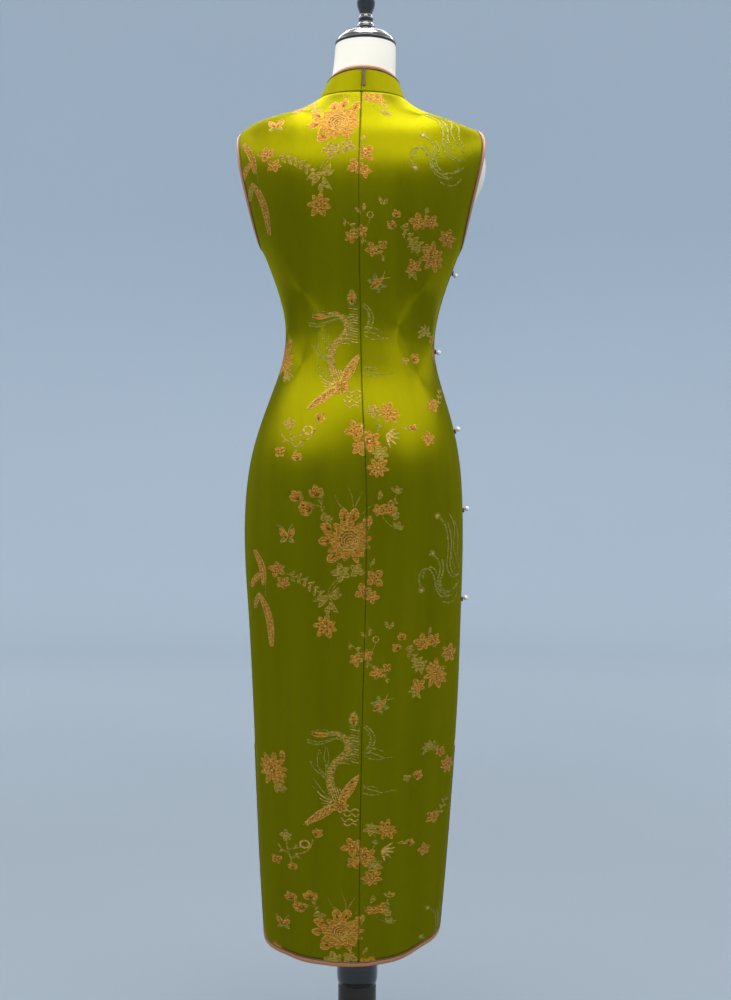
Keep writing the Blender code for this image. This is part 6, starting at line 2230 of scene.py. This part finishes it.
def size_setting(name, description, default, low, high, precision=5):
    return FloatProperty(
        name=name, description=description, default=default, min=low, max=high, unit="LENGTH",
        precision=precision,
    )


def colour_setting(name, description, default):
    return FloatVectorProperty(
        name=name, description=description, default=default, min=0.0, max=1.0, size=3,
        subtype="COLOR",
    )


class CheongsamCloth(bpy.types.PropertyGroup):
    """Sizes and colours of the brocade."""

    thickness: size_setting(
        "Cloth thickness", "Thickness of the satin brocade",
        0.0008, 0.0003, 0.0012,
    )
    collar_thickness: size_setting(
        "Collar thickness", "Thickness of the stiffened collar",
        0.0012, 0.0006, 0.0015,
    )
    thread_size: size_setting(
        "Thread size", "Width of one warp thread",
        0.0004, 0.0001, 0.001,
    )
    crease_depth: FloatProperty(
        name="Crease depth", description="How strongly the hand-placed creases show",
        default=1.0, min=0.0, max=1.5, subtype="FACTOR",
    )
    ground_colour: colour_setting(
        "Ground", "Colour of the satin ground", (0.207, 0.191, 0.001)
    )
    petal_colour: colour_setting(
        "Petals", "Colour of the petals' thread", (0.43, 0.19, 0.015)
    )
    outline_colour: colour_setting(
        "Outlines", "Colour of the pale outlining thread", (0.52, 0.31, 0.07)
    )
    shadow_colour: colour_setting(
        "Shadows", "Colour of the rust thread deep in the petals", (0.16, 0.06, 0.004)
    )
    leaf_colour: colour_setting(
        "Leaves", "Colour of the leaves' thread", (0.30, 0.22, 0.022)
    )
    plume_colour: colour_setting(
        "Plumes", "Colour of the thread of the outlined plumes", (0.23, 0.22, 0.028)
    )


class CheongsamTrim(bpy.types.PropertyGroup):
    """Sizes and colours of the edges and the sewing."""

    binding_height: size_setting(
        "Binding height", "How far the wide binding stands proud of the cloth",
        0.0006, 0.0002, 0.001,
    )
    piping_radius: size_setting(
        "Piping radius", "Radius of the narrow corded piping",
        0.0009, 0.0005, 0.0012,
    )
    piping_lift: size_setting(
        "Piping lift", "How far the piping's middle stands off the cloth",
        0.0001, -0.0005, 0.0005,
    )
    stitch_spacing: size_setting(
        "Stitch spacing", "From one stitch to the next",
        0.0032, 0.0015, 0.01, precision=4,
    )
    stitch_length: size_setting(
        "Stitch length", "Length of one stitch",
        0.0014, 0.0005, 0.004, precision=4,
    )
    stitch_thread: size_setting(
        "Stitch thread", "Thickness of the sewing thread",
        0.0003, 0.0001, 0.0008,
    )
    binding_colour: colour_setting(
        "Binding", "Colour of the wide bias binding", (0.42, 0.19, 0.075)
    )
    piping_colour: colour_setting(
        "Piping", "Colour of the narrow piping, the cord and the sewing", (0.100, 0.032, 0.008)
    )


class CheongsamStand(bpy.types.PropertyGroup):
    """Sizes and colours of the form and its stand."""

    form_colour: colour_setting(
        "Form", "Colour of the dress form", (0.80, 0.75, 0.64)
    )
    turning_steps: IntProperty(
        name="Turning steps", description="Sides of each turned piece of the stand",
        default=96, min=24, max=160,
    )


class CheongsamStage(bpy.types.PropertyGroup):
    """The studio round the form."""

    camera_distance: FloatProperty(
        name="Camera distance", description="From the stand's axis to the camera",
        default=2.09, min=1.0, max=6.0, unit="LENGTH",
    )
    camera_height: FloatProperty(
        name="Camera height", description="Height of the camera over the floor",
        default=0.87, min=0.1, max=2.5, unit="LENGTH",
    )
    lens: FloatProperty(
        name="Lens", description="Focal length in millimetres", default=50.0, min=20.0, max=120.0
    )
    top_light: FloatProperty(
        name="Top light", description="Power of the large light overhead, in watts",
        default=150.0, min=0.0, max=1000.0,
    )
    fill_light: FloatProperty(
        name="Fill lights",
        description="Power that each broad light round the form takes its share of, in watts",
        default=84.0, min=0.0, max=600.0,
    )
    surround: colour_setting(
        "Surround", "Colour of the floor and of the wall round it", (0.567, 0.673, 0.785)
    )


SHEETS = []  # each sheet of cloth, with its flat width, length and area


# ---------------------------------------------------------------- one operator for each group


def sheet_pieces(cut, surface, thick, flat=None):
    """Makes sheets of cloth, each under the name of its node and from its places."""
    for name, places in cut.items():
        piece, size = cloth_piece(f"{name}_cloth", surface, *places, thick, flat)
        dressed(piece, "brocade", name)
        SHEETS.append((piece, size))
    return {"FINISHED"}


class CHEONGSAM_OT_back(bpy.types.Operator):
    """Make the two back panels"""

    bl_idname = "cheongsam.back"
    bl_label = "Back panels"

    def execute(self, context):
        cut = {"back_left": back_half(LEFT), "back_right": back_half(RIGHT)}
        thick = context.scene.cheongsam_cloth.thickness
        return sheet_pieces(cut, cloth_points, thick, CLOTH_MAPS[BACK].flat)


class CHEONGSAM_OT_front(bpy.types.Operator):
    """Make the main front and the small right front under its diagonal edge"""

    bl_idname = "cheongsam.front"
    bl_label = "Front panels"

    def execute(self, context):
        cut = {"front_main": front_main(), "front_right": front_right()}
        thick = context.scene.cheongsam_cloth.thickness
        return sheet_pieces(cut, cloth_points, thick, CLOTH_MAPS[FRONT].flat)


class CHEONGSAM_OT_collar(bpy.types.Operator):
    """Make the two halves of the standing collar"""

    bl_idname = "cheongsam.collar"
    bl_label = "Collar"

    def execute(self, context):
        cut = {"collar_left": collar_half(LEFT), "collar_right": collar_half(RIGHT)}
        return sheet_pieces(cut, collar_points, context.scene.cheongsam_cloth.collar_thickness)


class CHEONGSAM_OT_brocade(bpy.types.Operator):
    """Weave the repeat of flowers, feathers and long-necked birds into the four panels"""

    bl_idname = "cheongsam.brocade"
    bl_label = "Brocade"

    def execute(self, context):
        chart = repeated_chart()
        for panel in PANELS:
            dressed(brocade_piece(panel, chart), "brocade")
        return {"FINISHED"}


# Each finished edge: its cloth's face with and without creases, its line at an inset, how wide its
# binding is, and whether it closes on itself.
Edge = namedtuple("Edge", "surface face line wide closed")
WORN, COLLAR = (cloth_points, dress_points), (collar_points, collar_face)
EDGES = {
    "armhole_left": Edge(*WORN, partial(armhole_edge, LEFT), BINDING, True),
    "armhole_right": Edge(*WORN, partial(armhole_edge, RIGHT), BINDING, True),
    "back_skirt": Edge(*WORN, partial(slit_and_hem, BACK), BINDING, False),
    "front_skirt": Edge(*WORN, partial(slit_and_hem, FRONT), BINDING, False),
    "placket": Edge(*WORN, placket_edge, BINDING, False),
    "collar_left": Edge(*COLLAR, partial(collar_edge, LEFT), COLLAR_BINDING, False),
    "collar_right": Edge(*COLLAR, partial(collar_edge, RIGHT), COLLAR_BINDING, False),
}
STITCH_INSET, STITCH_LIFT = 0.5 * MM, 0.1 * MM


class CHEONGSAM_OT_edges(bpy.types.Operator):
    """Bind every finished edge, and lay the narrow piping inside each binding"""

    bl_idname = "cheongsam.edges"
    bl_label = "Bindings and pipings"

    def execute(self, context):
        high = context.scene.cheongsam_trim.binding_height
        for label, (surface, _, line, wide, closed) in EDGES.items():
            bound = folded_binding(
                f"bias_binding_{label}", surface, line, wide, -CLOTH * 0.8, high, closed
            )
            dressed(bound, "wide_binding", f"binding_{label}")
            cord = piping(f"cord_piping_{label}", surface, line, wide + SEAM + PIPING / 2, closed)
            dressed(cord, "narrow_piping", f"piping_{label}")
        cord = piping("cord_piping_side_closure", cloth_points, closure_edge, PIPING / 2)
        dressed(cord, "narrow_piping", "piping_side_closure")
        return {"FINISHED"}


class CHEONGSAM_OT_sewing(bpy.types.Operator):
    """Sew small stitches along the inner edge of each binding"""

    bl_idname = "cheongsam.sewing"
    bl_label = "Sewing"

    def execute(self, context):
        for label, (surface, face, line, wide, closed) in EDGES.items():
            inset = wide + 2 * SEAM + PIPING + STITCH_INSET
            sewn = stitches(f"stitches_{label}", surface, face, line, inset, STITCH_LIFT, closed)
            dressed(sewn, "narrow_piping")
        return {"FINISHED"}


class CHEONGSAM_OT_zip(bpy.types.Operator):
    """Make the zip's tape, coil, slider and pull tab"""

    bl_idname = "cheongsam.zip"
    bl_label = "Zip"

    def execute(self, context):
        dressed(zip_tape_piece(), "zip_tape", "zip_tape")
        dressed(zip_coil_piece(), "zip_tape")
        dressed(slider_piece(), "zip_metal", "zip_slider")
        dressed(tab_piece(), "zip_metal", "zip_pull", body=TAB)
        return {"FINISHED"}


class CHEONGSAM_OT_frogs(bpy.types.Operator):
    """Make the seven frogs: a loop of silk cord and a pale ball each"""

    bl_idname = "cheongsam.frogs"
    bl_label = "Frog fastenings"

    def execute(self, context):
        for index, (place, shift) in enumerate(zip(frog_places(), FROG_BALL_SHIFT), 1):
            frog_pieces(index, *map(float, place), shift)
        return {"FINISHED"}


class CHEONGSAM_OT_form(bpy.types.Operator):
    """Make the limbless dress form"""

    bl_idname = "cheongsam.form"
    bl_label = "Dress form"

    def execute(self, context):
        dressed(form_piece(), "form_cover", "form_torso")
        return {"FINISHED"}


FINE_EDGE, BROAD_EDGE = 1.5 * MM, 4 * MM
STAND_PIECES = (  # node, profile, slot, how far its corners are eased, band, finishes
    ("neck_cap", NECK_CAP, "black_wood", FINE_EDGE, None, "black lacquer"),
    ("finial", FINIAL, "black_wood", BROAD_EDGE, None, "black lacquer"),
    ("pole", POLE, "stand_metal", FINE_EDGE, None, "brown satin metal"),
    ("column", COLUMN, "stand_metal", FINE_EDGE, COLUMN_BAND_Z, "brown satin metal",
     "black lacquer"),
    ("base", BASE, "stand_metal", BROAD_EDGE, None, "black base paint"),
)


class CHEONGSAM_OT_stand(bpy.types.Operator):
    """Turn the neck cap, the finial, the pole, the column and the base"""

    bl_idname = "cheongsam.stand"
    bl_label = "Stand"

    def execute(self, context):
        steps = context.scene.cheongsam_stand.turning_steps
        for node, profile, slot, radius, band, *labels in STAND_PIECES:
            piece = turned(
                f"{node}_turned", profile, *labels, radius=radius, steps=steps, band=band
            )
            dressed(piece, slot, node)
        return {"FINISHED"}


class CHEONGSAM_OT_cloth_facts(bpy.types.Operator):
    """Look up what is sewn to every sheet of cloth; the flat cuts and these lists are not used
    further
    """

    bl_idname = "cheongsam.cloth_facts"
    bl_label = "Cloth facts"

    def execute(self, context):
        owners = {
            "back_left_cloth": ["armhole_left"],
            "back_right_cloth": ["armhole_right", "back_skirt"],
            "front_main_cloth": ["front_skirt", "placket"],
            "collar_left_cloth": ["collar_left"],
            "collar_right_cloth": ["collar_right"],
        }
        for piece, (width, length, area) in SHEETS:
            sewn = []
            for label in owners.get(piece.name, []):
                for kind in ("bias_binding", "cord_piping", "stitches"):
                    sewn.append(bpy.data.objects[f"{kind}_{label}"])
            if piece.name == "front_main_cloth":
                sewn.append(bpy.data.objects["cord_piping_side_closure"])
            if piece.name == "back_left_cloth":
                sewn += [bpy.data.objects["zip_tape_woven"], bpy.data.objects["zip_coil"]]
            brocade = bpy.data.objects.get(piece.name.replace("_cloth", "_brocade"))
            if brocade:
                sewn.append(brocade)
        return {"FINISHED"}


AIM = Vector((0.0, 0.0, 1.1))  # what the lights point at
Lamp = namedtuple("Lamp", "turn height wide share")
FILL_LAMPS = (
    Lamp(0, 4.7, 6.4, 1.45), Lamp(180, 4.7, 6.4, 1.45), Lamp(70, 3.5, 4.4, 0.42),
    Lamp(110, 3.5, 4.4, 0.42), Lamp(250, 3.5, 4.4, 0.42), Lamp(290, 3.5, 4.4, 0.42),
)
LAMP_REACH, LAMP_TALL = 3.5, 0.9
SWEEP_RADIUS, SWEEP_BEND, SWEEP_TOP, SWEEP_STEPS = 9.0, 3.0, 8.0, 64


def area_light(name, place, size, power):
    data = bpy.data.lights.new(name, "AREA")
    data.shape, data.size, data.size_y = "RECTANGLE", *size
    data.energy = power
    light = placed(name, data)
    light.location = place
    light.rotation_euler = (AIM - Vector(place)).to_track_quat("-Z", "Y").to_euler()


def sweep_finish(pale):
    """A dull surround that grows paler with the way out, with a faint cloudiness. Its darker colour
    near the stand is painted shade, which holds down the lamps' light on the floor round the form.
    """
    material, tree, shader = finish_base("pale sweep", Roughness=0.9, Specular_IOR_Level=0.1)
    place = add(tree, "ShaderNodeTexCoord").outputs["Object"]
    cloud = add(tree, "ShaderNodeTexNoise", Vector=place, Scale=0.6, Detail=1.0).outputs[0]
    apart = add(tree, "ShaderNodeVectorMath", {"operation": "LENGTH"}, _0=place).outputs["Value"]
    far = add(
        tree, "ShaderNodeMapRange", {"interpolation_type": "SMOOTHSTEP"}, Value=apart,
        From_Min=1.0, From_Max=SWEEP_RADIUS,
    ).outputs[0]
    # painted shade: the colour is darker near the stand, against the lamps' light on the floor
    # there
    share = maths(tree, "MULTIPLY_ADD", cloud, 0.06, maths(tree, "MULTIPLY", far, 0.94))
    tone = tinted(tree, share, shade(pale, 0.28), shade(pale, 0.82))
    tree.links.new(tone, shader["Base Color"])
    return material


def sweep_piece(pale):
    """The floor and the wall round it, in one bowl that faces inwards."""
    curve = np.linspace(0, math.pi / 2, 12)
    bend = SWEEP_RADIUS - SWEEP_BEND + SWEEP_BEND * np.sin(curve)
    reach = np.concatenate([[0.0, 0.6], bend, [SWEEP_RADIUS]])
    height = np.concatenate([[0.0, 0.0], SWEEP_BEND * (1 - np.cos(curve)), [SWEEP_TOP]])
    points = spun(reach, height, SWEEP_STEPS)
    faces = [f[::-1] for f in grid_faces(len(reach), SWEEP_STEPS, wrap_columns=True)]
    mesh = bpy.data.meshes.new("pale_sweep")
    mesh.from_pydata([tuple(p) for p in points.reshape(-1, 3)], [], faces)
    mesh.materials.append(sweep_finish(pale))
    mesh.shade_smooth()
    joined = bmesh.new()
    joined.from_mesh(mesh)
    bmesh.ops.remove_doubles(joined, verts=joined.verts, dist=1e-6)
    joined.to_mesh(mesh)
    joined.free()
    return placed("pale_sweep", mesh)


class CHEONGSAM_OT_stage(bpy.types.Operator):
    """Set up the pale floor, the soft lights and the camera behind the form"""

    bl_idname = "cheongsam.stage"
    bl_label = "Stage"

    def execute(self, context):
        for name in ("Cube", "Light", "Camera"):
            if name in bpy.data.objects:
                bpy.data.objects.remove(bpy.data.objects[name])
        stage = context.scene.cheongsam_stage
        sweep = sweep_piece(tuple(stage.surround))

        area_light("top light", (0.0, 0.0, 4.4), (1.8, 2.4), stage.top_light)
        for k, lamp in enumerate(FILL_LAMPS, 1):
            c, s = pointing(lamp.turn)
            place = (LAMP_REACH * s, LAMP_REACH * c, lamp.height)
            power = stage.fill_light * lamp.share
            area_light(f"fill light {k}", place, (lamp.wide, LAMP_TALL), power)

        world = bpy.data.worlds.new("studio air")
        world.use_nodes = True
        air = world.node_tree.nodes["Background"].inputs
        air["Color"].default_value = (1.0, 0.99, 0.97, 1.0)
        air["Strength"].default_value = 1.1
        context.scene.world = world

        data = bpy.data.cameras.new("back view")
        data.lens = stage.lens
        camera = placed("back view", data)
        camera.location = (-0.006, stage.camera_distance, stage.camera_height)
        camera.rotation_euler = (math.pi / 2, 0.0, math.pi)
        camera.rotation_euler.rotate_axis("Z", 0.009)
        context.scene.camera = camera
        context.scene.view_settings.view_transform = "Standard"
        return {"FINISHED"}


class CHEONGSAM_PT_panel(bpy.types.Panel):
    """The cheongsam's sizes, colours and pieces"""

    bl_label = "Cheongsam"
    bl_idname = "CHEONGSAM_PT_panel"
    bl_space_type = "VIEW_3D"
    bl_region_type = "UI"
    bl_category = "Cheongsam"

    def draw(self, context):
        layout = self.layout
        for group in ("cloth", "trim", "stand", "stage"):
            settings = getattr(context.scene, f"cheongsam_{group}")
            box = layout.box()
            box.label(text=group.capitalize())
            for name in settings.__annotations__:
                box.prop(settings, name)
        for operator in OPERATORS:
            layout.operator(operator.bl_idname)


OPERATORS = (
    CHEONGSAM_OT_stage,
    CHEONGSAM_OT_form,
    CHEONGSAM_OT_stand,
    CHEONGSAM_OT_back,
    CHEONGSAM_OT_front,
    CHEONGSAM_OT_collar,
    CHEONGSAM_OT_brocade,
    CHEONGSAM_OT_edges,
    CHEONGSAM_OT_sewing,
    CHEONGSAM_OT_zip,
    CHEONGSAM_OT_frogs,
    CHEONGSAM_OT_cloth_facts,
)
GROUPS = {
    "cheongsam_cloth": CheongsamCloth,
    "cheongsam_trim": CheongsamTrim,
    "cheongsam_stand": CheongsamStand,
    "cheongsam_stage": CheongsamStage,
}


def register():
    for group in GROUPS.values():
        bpy.utils.register_class(group)
    for name, group in GROUPS.items():
        setattr(bpy.types.Scene, name, PointerProperty(type=group))
    for kind in (*OPERATORS, CHEONGSAM_PT_panel):
        bpy.utils.register_class(kind)


def unregister():
    for kind in (CHEONGSAM_PT_panel, *reversed(OPERATORS)):
        bpy.utils.unregister_class(kind)
    for name in GROUPS:
        delattr(bpy.types.Scene, name)
    for group in reversed(GROUPS.values()):
        bpy.utils.unregister_class(group)


def main():
    register()
    for operator in OPERATORS:
        family, name = operator.bl_idname.split(".")
        getattr(getattr(bpy.ops, family), name)()


if __name__ == "__main__":
    main()
